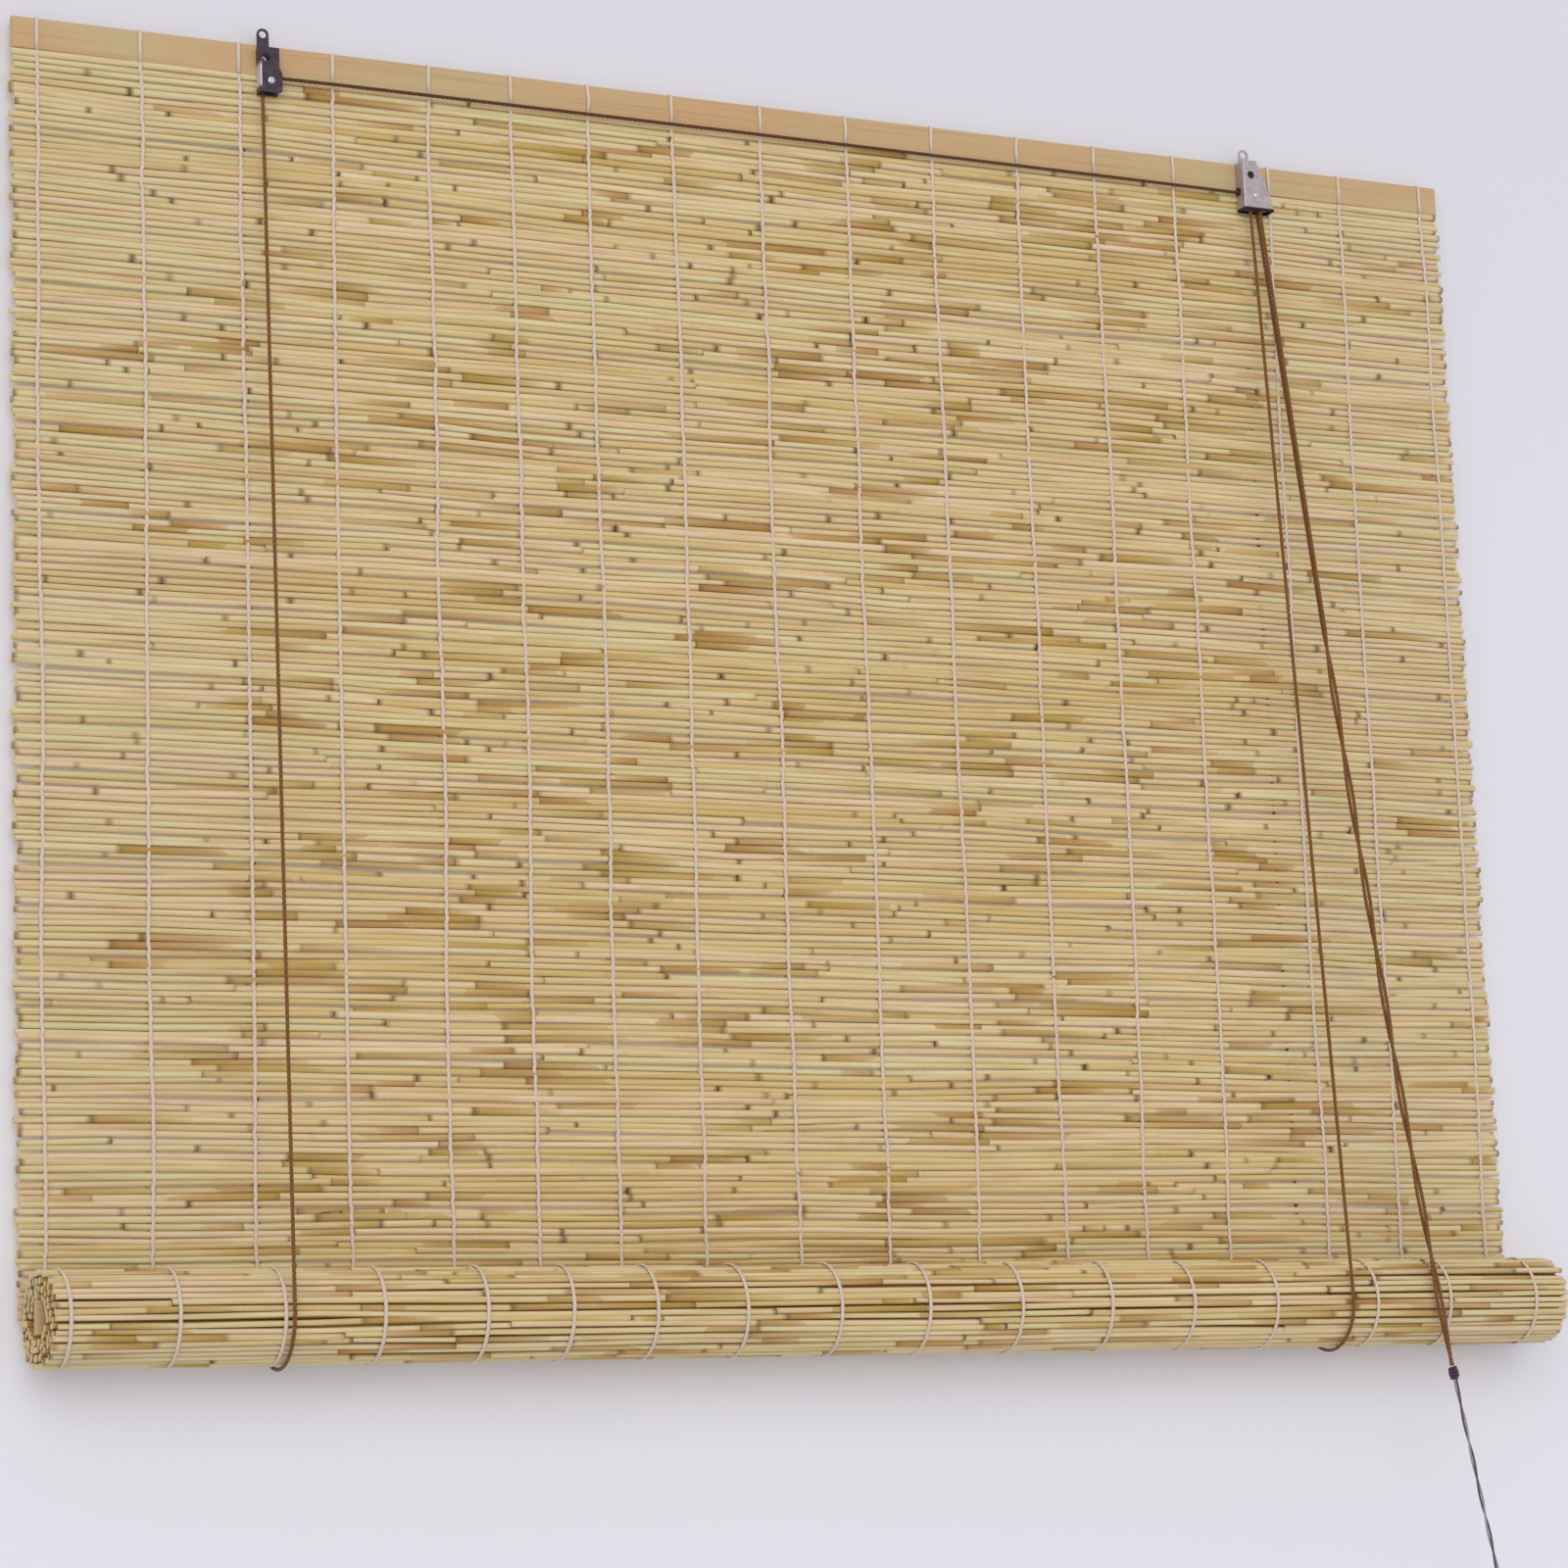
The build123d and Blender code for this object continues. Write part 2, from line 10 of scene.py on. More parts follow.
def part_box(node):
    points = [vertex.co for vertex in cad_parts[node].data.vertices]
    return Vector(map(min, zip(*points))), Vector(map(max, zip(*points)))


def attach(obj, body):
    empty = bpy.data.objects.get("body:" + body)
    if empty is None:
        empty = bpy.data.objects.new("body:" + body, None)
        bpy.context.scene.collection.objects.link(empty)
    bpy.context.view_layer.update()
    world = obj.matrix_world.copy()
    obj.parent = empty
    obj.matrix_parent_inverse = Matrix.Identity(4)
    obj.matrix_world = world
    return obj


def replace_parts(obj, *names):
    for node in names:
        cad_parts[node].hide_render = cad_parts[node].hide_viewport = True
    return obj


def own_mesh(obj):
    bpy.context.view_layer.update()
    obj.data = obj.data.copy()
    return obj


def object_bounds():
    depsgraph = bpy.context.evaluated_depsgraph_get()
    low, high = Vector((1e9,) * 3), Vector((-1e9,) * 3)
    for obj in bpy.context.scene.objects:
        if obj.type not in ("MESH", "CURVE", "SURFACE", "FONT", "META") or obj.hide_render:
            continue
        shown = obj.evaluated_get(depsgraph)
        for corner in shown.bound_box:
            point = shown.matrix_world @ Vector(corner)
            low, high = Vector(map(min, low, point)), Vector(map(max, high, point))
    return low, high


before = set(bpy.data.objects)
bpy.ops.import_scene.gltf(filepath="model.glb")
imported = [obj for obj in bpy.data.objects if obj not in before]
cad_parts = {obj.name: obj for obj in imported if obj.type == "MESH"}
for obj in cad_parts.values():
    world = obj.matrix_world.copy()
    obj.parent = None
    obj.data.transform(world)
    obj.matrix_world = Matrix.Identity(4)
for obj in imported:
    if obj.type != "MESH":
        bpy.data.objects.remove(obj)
cad_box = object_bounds()
mm = 0.001
rng = np.random.default_rng(7)


# Camera: the photograph's, with its place in metres and its turn in degrees
camera_place = (-1.3571, -2.7808, -1.0728)
camera_yaw, camera_pitch, camera_roll = -25.728, 9.886, 2.083
camera_lens = 96.72
camera_sensor = 36.0

# Stage
backdrop_gap = 12 * mm         # from the mat's front face
backdrop_size = 9.0
floor_drop = 0.9               # below the lowest point of the cord

# Reeds
reed_pitch = 4.7 * mm
reed_sides = 7
reed_radius = 2.66 * mm
reed_spread = (0.86, 1.14)     # thinnest and thickest, as shares of the radius
reed_taper = 0.12              # share of the radius lost from a reed's foot to its tip
reed_lean = 0.6 * mm           # how far a reed's ends stand off its row
reed_bow = 0.42 * mm
reed_depth = 0.45 * mm         # how far reeds stand in front of or behind each other
reed_length = (0.22, 0.75)     # shortest and longest piece in a row
reed_step = 90 * mm            # between the plain rings along a reed
row_drift = 0.85 * mm          # how far the rows wander together
node_space = (0.11, 0.23)      # between the joints of one reed
node_swell = 0.2 * mm
node_half = 4.2 * mm           # half length of a joint's dark ring, faded ends and all
node_uneven = (0.7, 1.2)       # shortest and longest ring, against that
first_node, last_node = 0.02, 0.015    # least distances of a joint from a reed's two ends
dark_node_share = 0.5
dark_end_share = 0.5
dark_ring = (0.5, 1.0)         # darkness of a dark joint, and of a dark end
pale_ring = (0.0, 0.2)
pale_end = 0.05
plain_node_share = 0.5         # joints with neither a dark ring nor a sheath that still swell
tone_spread, tone_scatter = (1.6, 2.2), 0.13     # beta shapes among the reeds, scatter along one
hue_spread, hue_scatter = (1.1, 1.3), 0.1
sheath_share = 0.42            # joints that still carry a leaf sheath
sheath_on_dark, sheath_on_pale = 1.2, 0.7        # odds at a dark and at a pale joint, against that
sheath_length = (0.025, 0.095)
sheath_least = 12 * mm
sheath_right = 0.55            # sheaths that grow to the right
sheath_slant = 0.14            # how far a frayed end leans, against the sheath's length
sheath_cover, sheath_fray, sheath_foot = (0.5, 1.0), (0.35, 1.0), (0.2, 0.8)
bunch_share = 0.5              # sheaths with another beside them in the next row
bunch_spread = 18 * mm
bunch_margin, bunch_clear = 0.03, 0.06           # from the reed's ends, and from its other joints
margin_start, margin_wide = 0.40, 0.06           # the blind's sides: paler, a little browner, with less leaf
margin_pale, margin_brown, margin_bare = 0.32, 0.07, 0.4
leaf_uneven, leaf_least, leaf_most = 0.6, 0.15, 2.2
row_stations = 41              # places along a row where its drift and leaf are drawn
drift_alike, leaf_alike = (5, 7), (4, 4)         # rows and stations that are alike
drift_fade = 4                 # rows at the mat's head and foot in which the drift fades
sheath_thick = 0.14 * mm
reed_gap = (0.2, 0.8)          # between the ends of two reeds, in millimetres
end_margin = 0.05              # no two reeds meet nearer to the mat's edge
edge_uneven = 2.2 * mm         # how far the reeds' ends miss the mat's edge
edge_dark = 0.7                # dark ends there, against those inside the mat
hollow_share = 0.4             # of a reed's radius
hollow_depth = 4 * mm
hollow_odds = 0.35             # cut ends that are open, not closed by pith
pith_depth = 0.15              # of the hollow's depth
cut_share = 0.3                # tone and darkness of a cut face, against the skin's
hollow_shade = (0.5, 0.75)      # painted shade in the hollow, at the hollow's rim and its floor

# Roll
roll_turns = 4
turn_pitch = 5.0 * mm
roll_reed_share = 0.88         # the roll's reeds against the mat's, so that gaps open round it
roll_drift = 0.55 * mm         # how far a reed wanders along its turn
roll_uneven = 1.2 * mm         # how far the reeds' ends miss the roll's edge
roll_edge_dark = 0.25
roll_slant = 7 * mm            # how far its left end is set back at the front
roll_leaf = 2.0                # leaf left on its outer reeds, against the mat's
inner_painted_shade = 0.85              # how much leaf colour covers the reeds inside it: painted shade, darker and browner between the turns

# Warp threads: flattened cotton yarn
thread_wide = 1.45 * mm        # half its width
thread_thin = 0.6 * mm         # half its thickness
thread_dip = 0.2 * mm          # how far it goes in between two reeds
thread_sides = 6
thread_wander = 1.8 * mm       # most that it leaves its line, in random steps of the next value
thread_drift = 0.16 * mm
thread_zigzag = 0.22 * mm
thread_lift = 0.9              # of its half thickness, clear of the reeds
loop_bend, loop_lean = 1.2 * mm, 0.5 * mm        # over the slat's edges
roll_thread_lift = 0.7
roll_thread_share = 0.86       # of the roll's outer turn, up to where the mat covers it
roll_thread_sway, sway_reeds = 0.8 * mm, 9       # how far it sways, and over how many reeds

# Cords: diameter, plies and length of lay
cord_d = 3.0 * mm
cord_lay = 11 * mm
twine_d = 3.6 * mm
twine_lay = 56 * mm
ring_step = 1.4 * mm           # between the rings along a ply
ply_sides = 6
ply_squeeze = 1.12             # three plies press into each other
spline_steps = 48

# Pull cord's route, as in the part's source
strand_pitch = 3.3 * mm
strand_turn = 0.16             # length in which the two strands go once round each other
strand_plain = 0.35            # length before they start to
strand_close = 3               # they draw together in the first third
strand_step = 4 * mm
back_exit = (0.423, -0.0038, -0.0492)
front_exit = (0.423, -0.0087, -0.0492)
pull_bend = (0.4616, -0.0498, -0.651)
pull_at_roll = (0.4896, -0.0704, -0.932)
pull_knot_top = (0.4946, -0.0734, -0.976)
twine_end = (0.52, -0.0865, -1.157)

# Knots: radius, length, half the yarn's thickness and number of wraps
pull_knot_size = (4.2 * mm, 11 * mm, 1.3 * mm, 4)
end_knot_size = (3.8 * mm, 9 * mm, 1.4 * mm, 3)
knot_gap = 0.4 * mm            # below the ends of the two strands
knot_swell = 0.35              # share of its girth that only its middle has
knot_core = 0.6                # the bound cord's radius, against the knot's
wrap_steps = 20


def linear(code):
    """An sRGB hex colour as linear RGBA."""
    parts = [int(code[i:i + 2], 16) / 255 for i in (1, 3, 5)]
    return (*[c / 12.92 if c <= 0.04045 else ((c + 0.055) / 1.055) ** 2.4 for c in parts], 1.0)


# Materials

def node(tree, kind, inputs=None, **settings):
    """Adds one node. Inputs are values or sockets, by the name or number of the input."""
    made = tree.nodes.new(kind)
    for name, value in settings.items():
        setattr(made, name, value)
    for key, value in (inputs or {}).items():
        if isinstance(value, bpy.types.NodeSocket):
            tree.links.new(value, made.inputs[key])
        else:
            made.inputs[key].default_value = value
    return made


def stretched(along, across):
    """A pattern's scale from its length along X and its width across, in millimetres."""
    return 1 / (along * mm), 1 / (across * mm), 1 / (across * mm)


def material(name, **constants):
    """A material with its shader's fixed values: returns it, its tree and its shader."""
    made = bpy.data.materials.new(name)
    made.use_nodes = True
    shader = made.node_tree.nodes["Principled BSDF"]
    for key, value in constants.items():
        shader.inputs[key.replace("_", " ")].default_value = value
    return made, made.node_tree, shader


def dried_reed():
    """Dried common reed: a hard, satin skin with fine lengthwise fibre, pinkish, straw or greenish, dark at its
    joints, and dull gold or tan where the papery leaf sheath was left on."""
    made, tree, shader = material("dried_reed", IOR=1.5, Specular_IOR_Level=0.3)
    marks = node(tree, "ShaderNodeAttribute", attribute_name="strand_marks")
    parts = node(tree, "ShaderNodeSeparateColor", {"Color": marks.outputs["Color"]})
    place = node(tree, "ShaderNodeTexCoord")
    fibre_at = node(tree, "ShaderNodeMapping", {"Vector": place.outputs["Object"], "Scale": stretched(50, 0.9)})
    fibre = node(tree, "ShaderNodeTexNoise", {"Vector": fibre_at.outputs["Vector"], "Scale": 1.0, "Detail": 3.0,
                                              "Roughness": 0.6})
    patch_at = node(tree, "ShaderNodeMapping", {"Vector": place.outputs["Object"], "Scale": stretched(60, 5)})
    patch = node(tree, "ShaderNodeTexNoise", {"Vector": patch_at.outputs["Vector"], "Scale": 1.0, "Detail": 2.0})
    warm = node(tree, "ShaderNodeMix", {0: parts.outputs["Blue"], 6: linear("#E2C7A2"), 7: linear("#DACE9C")},
                data_type="RGBA")
    straw = node(tree, "ShaderNodeMix", {0: parts.outputs["Red"], 6: warm.outputs[2], 7: linear("#CFB172")},
                 data_type="RGBA")
    patch_share = node(tree, "ShaderNodeMapRange", {"Value": patch.outputs["Fac"], "From Min": 0.48, "From Max": 0.75,
                                                    "To Max": 0.5})
    aged = node(tree, "ShaderNodeMix", {0: patch_share.outputs["Result"], 6: straw.outputs[2],
                                        7: linear("#C4A066")}, data_type="RGBA")
    leaf_at = node(tree, "ShaderNodeMapping", {"Vector": place.outputs["Object"], "Scale": stretched(90, 14)})
    leaf_hue = node(tree, "ShaderNodeTexNoise", {"Vector": leaf_at.outputs["Vector"], "Scale": 1.0, "Detail": 1.0})
    leaf_mix = node(tree, "ShaderNodeMapRange", {"Value": leaf_hue.outputs["Fac"], "From Min": 0.35, "From Max": 0.65})
    leaf = node(tree, "ShaderNodeMix", {0: leaf_mix.outputs["Result"], 6: linear("#B39445"), 7: linear("#AF8046")},
                data_type="RGBA")
    clad = node(tree, "ShaderNodeMix", {0: marks.outputs["Alpha"], 6: aged.outputs[2], 7: leaf.outputs[2]},
                data_type="RGBA")
    fibre_share = node(tree, "ShaderNodeMapRange", {"Value": fibre.outputs["Fac"], "From Min": 0.3, "From Max": 0.7,
                                                    "To Min": 0.84, "To Max": 1.07})
    combed = node(tree, "ShaderNodeMix", {0: 1.0, 6: clad.outputs[2], 7: fibre_share.outputs["Result"]},
                  data_type="RGBA", blend_type="MULTIPLY")
    joint = node(tree, "ShaderNodeMix", {0: parts.outputs["Green"], 6: combed.outputs[2], 7: linear("#6B4A28")},
                 data_type="RGBA")
    tree.links.new(joint.outputs[2], shader.inputs["Base Color"])
    gloss = node(tree, "ShaderNodeMapRange", {"Value": marks.outputs["Alpha"], "To Min": 0.52, "To Max": 0.75})
    tree.links.new(gloss.outputs["Result"], shader.inputs["Roughness"])
    relief = node(tree, "ShaderNodeBump", {"Height": fibre.outputs["Fac"], "Strength": 0.25, "Distance": 0.3 * mm})
    tree.links.new(relief.outputs["Normal"], shader.inputs["Normal"])
    return made


def planed_lath():
    """Planed softwood with a thin clear lacquer: straight lengthwise grain in tan, slightly uneven in hue."""
    made, tree, shader = material("planed_lath", IOR=1.5, Specular_IOR_Level=0.4)
    place = node(tree, "ShaderNodeTexCoord")
    grain_at = node(tree, "ShaderNodeMapping", {"Vector": place.outputs["Object"], "Scale": stretched(200, 2.4)})
    grain = node(tree, "ShaderNodeTexNoise", {"Vector": grain_at.outputs["Vector"], "Scale": 1.0, "Detail": 4.0,
                                              "Roughness": 0.55})
    hue_at = node(tree, "ShaderNodeMapping", {"Vector": place.outputs["Object"], "Scale": stretched(160, 50)})
    hue = node(tree, "ShaderNodeTexNoise", {"Vector": hue_at.outputs["Vector"], "Scale": 1.0, "Detail": 1.0})
    hue_share = node(tree, "ShaderNodeMapRange", {"Value": hue.outputs["Fac"], "From Min": 0.35, "From Max": 0.65})
    body = node(tree, "ShaderNodeMix", {0: hue_share.outputs["Result"], 6: linear("#BBA67B"), 7: linear("#C29B6E")},
                data_type="RGBA")
    grain_share = node(tree, "ShaderNodeMapRange", {"Value": grain.outputs["Fac"], "From Min": 0.52, "From Max": 0.75,
                                                    "To Max": 0.6})
    lined = node(tree, "ShaderNodeMix", {0: grain_share.outputs["Result"], 6: body.outputs[2],
                                         7: linear("#A5835A")}, data_type="RGBA")
    tree.links.new(lined.outputs[2], shader.inputs["Base Color"])
    gloss = node(tree, "ShaderNodeMapRange", {"Value": grain.outputs["Fac"], "To Min": 0.38, "To Max": 0.6})
    tree.links.new(gloss.outputs["Result"], shader.inputs["Roughness"])
    relief = node(tree, "ShaderNodeBump", {"Height": grain.outputs["Fac"], "Strength": 0.15, "Distance": 0.3 * mm})
    tree.links.new(relief.outputs["Normal"], shader.inputs["Normal"])
    return made


def spun_fibre(name, light, dark, size, roughness, sheen, second=None):
    """Spun yarn: dull, fuzzy fibre in two close tones, with every second ply in another colour if one is given."""
    made, tree, shader = material(name, IOR=1.5, Specular_IOR_Level=0.15, Roughness=roughness, Sheen_Weight=sheen,
                                  Sheen_Roughness=0.5)
    place = node(tree, "ShaderNodeTexCoord")
    fuzz = node(tree, "ShaderNodeTexNoise", {"Vector": place.outputs["Object"], "Scale": 1 / size, "Detail": 3.0})
    share = node(tree, "ShaderNodeMapRange", {"Value": fuzz.outputs["Fac"], "From Min": 0.32, "From Max": 0.68})
    tone = node(tree, "ShaderNodeMix", {0: share.outputs["Result"], 6: linear(dark), 7: linear(light)},
                data_type="RGBA")
    if second:
        marks = node(tree, "ShaderNodeAttribute", attribute_name="strand_marks")
        ply = node(tree, "ShaderNodeSeparateColor", {"Color": marks.outputs["Color"]})
        tone = node(tree, "ShaderNodeMix", {0: ply.outputs["Red"], 6: tone.outputs[2], 7: linear(second)},
                    data_type="RGBA")
    tree.links.new(tone.outputs[2], shader.inputs["Base Color"])
    relief = node(tree, "ShaderNodeBump", {"Height": fuzz.outputs["Fac"], "Strength": 0.4, "Distance": 0.4 * mm})
    tree.links.new(relief.outputs["Normal"], shader.inputs["Normal"])
    return made


def sheet_metal(name, light, dark, metallic, spangle, rough_low, rough_high, patch=None, limits=()):
    """Plated or lacquered sheet: an even metal with a mottled gloss, and another colour inside some limits, used as a
    painted highlight on the left housing and to darken the lock's bottom rim.

    A limit is an axis, where the other colour starts to fade along it, and where it has gone."""
    made, tree, shader = material(name, Metallic=metallic)
    place = node(tree, "ShaderNodeTexCoord")
    cells = node(tree, "ShaderNodeTexVoronoi", {"Vector": place.outputs["Object"], "Scale": 1 / spangle},
                 feature="F1")
    cloud = node(tree, "ShaderNodeTexNoise", {"Vector": place.outputs["Object"], "Scale": 0.6 / spangle,
                                              "Detail": 4.0})
    parts = node(tree, "ShaderNodeSeparateColor", {"Color": cells.outputs["Color"]})
    mixed = node(tree, "ShaderNodeMath", {0: parts.outputs["Red"], 1: cloud.outputs["Fac"]}, operation="MULTIPLY")
    share = node(tree, "ShaderNodeMapRange", {"Value": mixed.outputs["Value"], "From Min": 0.05, "From Max": 0.5})
    tone = node(tree, "ShaderNodeMix", {0: share.outputs["Result"], 6: linear(dark), 7: linear(light)},
                data_type="RGBA")
    if patch:
        axes = node(tree, "ShaderNodeSeparateXYZ", {"Vector": place.outputs["Object"]})
        # Mask for the other colour: a painted highlight on the left housing, a darker bottom rim on the lock
        highlight_and_rim_mask = 1.0
        for axis, full, gone in limits:
            fade = node(tree, "ShaderNodeMapRange", {"Value": axes.outputs[axis], "From Min": full, "From Max": gone,
                                                     "To Min": 1.0, "To Max": 0.0})
            highlight_and_rim_mask = node(tree, "ShaderNodeMath", {0: fade.outputs["Result"], 1: highlight_and_rim_mask},
                        operation="MULTIPLY").outputs["Value"]
        tone = node(tree, "ShaderNodeMix", {0: highlight_and_rim_mask, 6: tone.outputs[2], 7: linear(patch)}, data_type="RGBA")
    tree.links.new(tone.outputs[2], shader.inputs["Base Color"])
    gloss = node(tree, "ShaderNodeMapRange", {"Value": cloud.outputs["Fac"], "To Min": rough_low,
                                              "To Max": rough_high})
    tree.links.new(gloss.outputs["Result"], shader.inputs["Roughness"])
    return made


def moulded_nylon():
    """Black moulded nylon: smooth, slightly waxy, with a faint flow mottle."""
    made, tree, shader = material("moulded_nylon", IOR=1.53)
    place = node(tree, "ShaderNodeTexCoord")
    flow = node(tree, "ShaderNodeTexNoise", {"Vector": place.outputs["Object"], "Scale": 0.6 / mm, "Detail": 2.0})
    tone = node(tree, "ShaderNodeMix", {0: flow.outputs["Fac"], 6: linear("#1E1B1C"), 7: linear("#332E2F")},
                data_type="RGBA")
    tree.links.new(tone.outputs[2], shader.inputs["Base Color"])
    gloss = node(tree, "ShaderNodeMapRange", {"Value": flow.outputs["Fac"], "To Min": 0.35, "To Max": 0.5})
    tree.links.new(gloss.outputs["Result"], shader.inputs["Roughness"])
    return made


reed = dried_reed()
lath = planed_lath()
warp_cotton = spun_fibre("warp_cotton", "#DAC7B6", "#C9B6A3", 0.9 * mm, 0.9, 0.2)
# One cord in two copies: the lighter for the runs out in the light, the darker for the head run, as painted shade
# under the slat
lift_cord = spun_fibre("polyester_lift_cord", "#8C5C2E", "#643E1E", 1.2 * mm, 0.6, 0.15)
painted_shade_cord = spun_fibre("lift_cord_painted_shade", "#6A4120", "#472912", 1.2 * mm, 0.6, 0.15)
plum_twine = spun_fibre("twisted_plum_twine", "#66525F", "#48363F", 1.0 * mm, 0.8, 0.3, "#968F94")
dark_knot = spun_fibre("dark_knot_yarn", "#5A3046", "#381A2A", 1.0 * mm, 0.8, 0.3)
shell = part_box("left_housing")[0]
# Its pale patch along the left side is a painted highlight, where that side catches the light
black_lacquer = sheet_metal("black_lacquered_steel", "#443844", "#332933", 0.35, 3 * mm, 0.28, 0.5, "#CFC0C6", (
    ("X", shell.x + 0.9 * mm, shell.x + 1.2 * mm), ("Z", shell.z + 19 * mm, shell.z + 23 * mm),
    ("Z", shell.z + 5.5 * mm, shell.z + 3 * mm)))
lock_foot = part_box("lock_housing")[0].z
# Its dark patch darkens the lock's bottom rim
zinc_plate = sheet_metal("dull_zinc_plate", "#BDB3B4", "#ADA3A4", 0.75, 2.5 * mm, 0.4, 0.6, "#2B2326", (
    ("Z", lock_foot + 1.8 * mm, lock_foot + 2.4 * mm),))
bright_steel = sheet_metal("bright_drawn_steel", "#E2D8DC", "#BDB3B8", 0.9, 1.5 * mm, 0.22, 0.36)
nylon = moulded_nylon()


# Mesh building

class Strands:
    """Tubes gathered into one mesh, with four marks on each corner: tone, darkness, hue and leaf, which inside the
    roll is painted shade.
    """

    def __init__(self):
        self.corners, self.marks, self.faces = [], [], []
        self.count = 0

    def rings(self, rings, marks=(0.0, 0.0, 0.0, 0.0)):
        """A skin over rings of points, open at both ends. Returns the number of its first corner."""
        turns, sides = rings.shape[:2]
        first = self.count
        self.corners.append(rings.reshape(-1, 3))
        self.marks.append(np.broadcast_to(marks, (turns, sides, 4)).reshape(-1, 4))
        row = np.arange(turns - 1)[:, None] * sides + first
        near = np.arange(sides)[None, :]
        far = (near + 1) % sides
        quads = np.stack([row + near, row + far, row + sides + far, row + sides + near], axis=-1)
        self.faces.extend(quads.reshape(-1, 4).tolist())
        self.count += turns * sides
        return first

    def closed(self, rings, marks=(0.0, 0.0, 0.0, 0.0)):
        """A skin over rings of points, with a flat cap at each end."""
        sides = rings.shape[1]
        self.cap(self.rings(rings, marks), sides, True)
        self.cap(self.count - sides, sides)

    def cap(self, first, sides, flip=False):
        """Closes a ring of corners that is already there."""
        ring = list(range(first, first + sides))
        self.faces.append(ring[::-1] if flip else ring)

    def make(self, name, finish):
        """The piece, with its marks for the material."""
        mesh = bpy.data.meshes.new(name)
        mesh.from_pydata(np.concatenate(self.corners).tolist(), [], self.faces)
        mesh.polygons.foreach_set("use_smooth", [len(face) == 4 for face in self.faces])
        layer = mesh.attributes.new("strand_marks", "FLOAT_COLOR", "POINT")
        layer.data.foreach_set("color", np.concatenate(self.marks).astype(np.float32).ravel())
        mesh.materials.append(finish)
        mesh.update()
        piece = bpy.data.objects.new(name, mesh)
        bpy.context.scene.collection.objects.link(piece)
        return piece


def circle(sides, turn=0.0):
    """Cosines and sines of the corners of a ring."""
    angle = np.arange(sides) * 2 * math.pi / sides + turn
    return np.cos(angle), np.sin(angle)


def along_x(stations, radii, centres, sides=reed_sides):
    """Rings round a line along X, from its stations, radii and centres in Y and Z."""
    c, s = circle(sides, math.pi / sides)
    rings = np.zeros((len(stations), sides, 3))
    rings[:, :, 0] = np.asarray(stations)[:, None]
    rings[:, :, 1] = centres[:, 0, None] + np.asarray(radii)[:, None] * c
    rings[:, :, 2] = centres[:, 1, None] + np.asarray(radii)[:, None] * s
    return rings


def frames_along(points):
    """Tangent, and two directions across, at each point of a path."""
    tangent = np.gradient(points, axis=0)
    tangent /= np.linalg.norm(tangent, axis=1)[:, None]
    across = np.zeros_like(points)
    start = np.cross(tangent[0], (0.0, 1.0, 0.0))
    if np.linalg.norm(start) < 0.2:
        start = np.cross(tangent[0], (1.0, 0.0, 0.0))
    across[0] = start / np.linalg.norm(start)
    for i in range(1, len(points)):
        step = across[i - 1] - tangent[i] * np.dot(across[i - 1], tangent[i])
        across[i] = step / np.linalg.norm(step)
    return tangent, across, np.cross(tangent, across)


def tube_rings(points, wide, thin, sides):
    """Rings round a path, oval where the two half widths differ."""
    _, u, v = frames_along(points)
    c, s = circle(sides)
    return points[:, None, :] + wide * c[None, :, None] * u[:, None, :] + thin * s[None, :, None] * v[:, None, :]


def even_steps(points, step):
    """A spline's points, taken again at an even step, and the reach of each along it."""
    points = np.asarray(points, float)
    reach = np.concatenate([[0], np.cumsum(np.linalg.norm(np.diff(points, axis=0), axis=1))])
    places = np.linspace(0, reach[-1], max(3, int(round(reach[-1] / step)) + 1))
    return np.stack([np.interp(places, reach, points[:, i]) for i in range(3)], axis=1), places


def nurbs_points(route):
    """Points along a smooth curve through a route's ends and near its inner points."""
    curve = bpy.data.curves.new("route", "CURVE")
    curve.dimensions = "3D"
    curve.resolution_u = spline_steps
    spline = curve.splines.new("NURBS")
    spline.points.add(len(route) - 1)
    for point, place in zip(spline.points, route):
        point.co = (*place, 1.0)
    spline.order_u = 3
    spline.use_endpoint_u = True
    holder = bpy.data.objects.new("route", curve)
    mesh = bpy.data.meshes.new_from_object(holder)
    points = np.array([corner.co for corner in mesh.vertices])
    bpy.data.objects.remove(holder)
    bpy.data.curves.remove(curve)
    bpy.data.meshes.remove(mesh)
    return points


def twisted(strands, points, diameter, plies, lay):
    """A twisted cord round a path: its plies wind round each other."""
    points, places = even_steps(points, ring_step)
    _, u, v = frames_along(points)
    ply_r = diameter / 2 / (1 + 1 / math.sin(math.pi / plies)) * (ply_squeeze if plies > 2 else 1.0)
    offset = diameter / 2 - ply_r
    for ply in range(plies):
        angle = places / lay * 2 * math.pi + 2 * math.pi * ply / plies
        centre = points + offset * (np.cos(angle)[:, None] * u + np.sin(angle)[:, None] * v)
        strands.closed(tube_rings(centre, ply_r, ply_r, ply_sides), (ply % 2, 0.0, 0.0, 0.0))


# Reeds

def smooth_field(rows, columns, over_rows, over_columns):
    """Random values for each row and each stretch of it, alike among neighbours, about -1 to 1."""
    field = rng.normal(size=(rows, columns))
    for axis, width in ((0, over_rows), (1, over_columns)):
        weights = np.hanning(width + 2)[1:-1]
        field = np.apply_along_axis(np.convolve, axis, field, weights / weights.sum(), "same")
    return field / field.std()


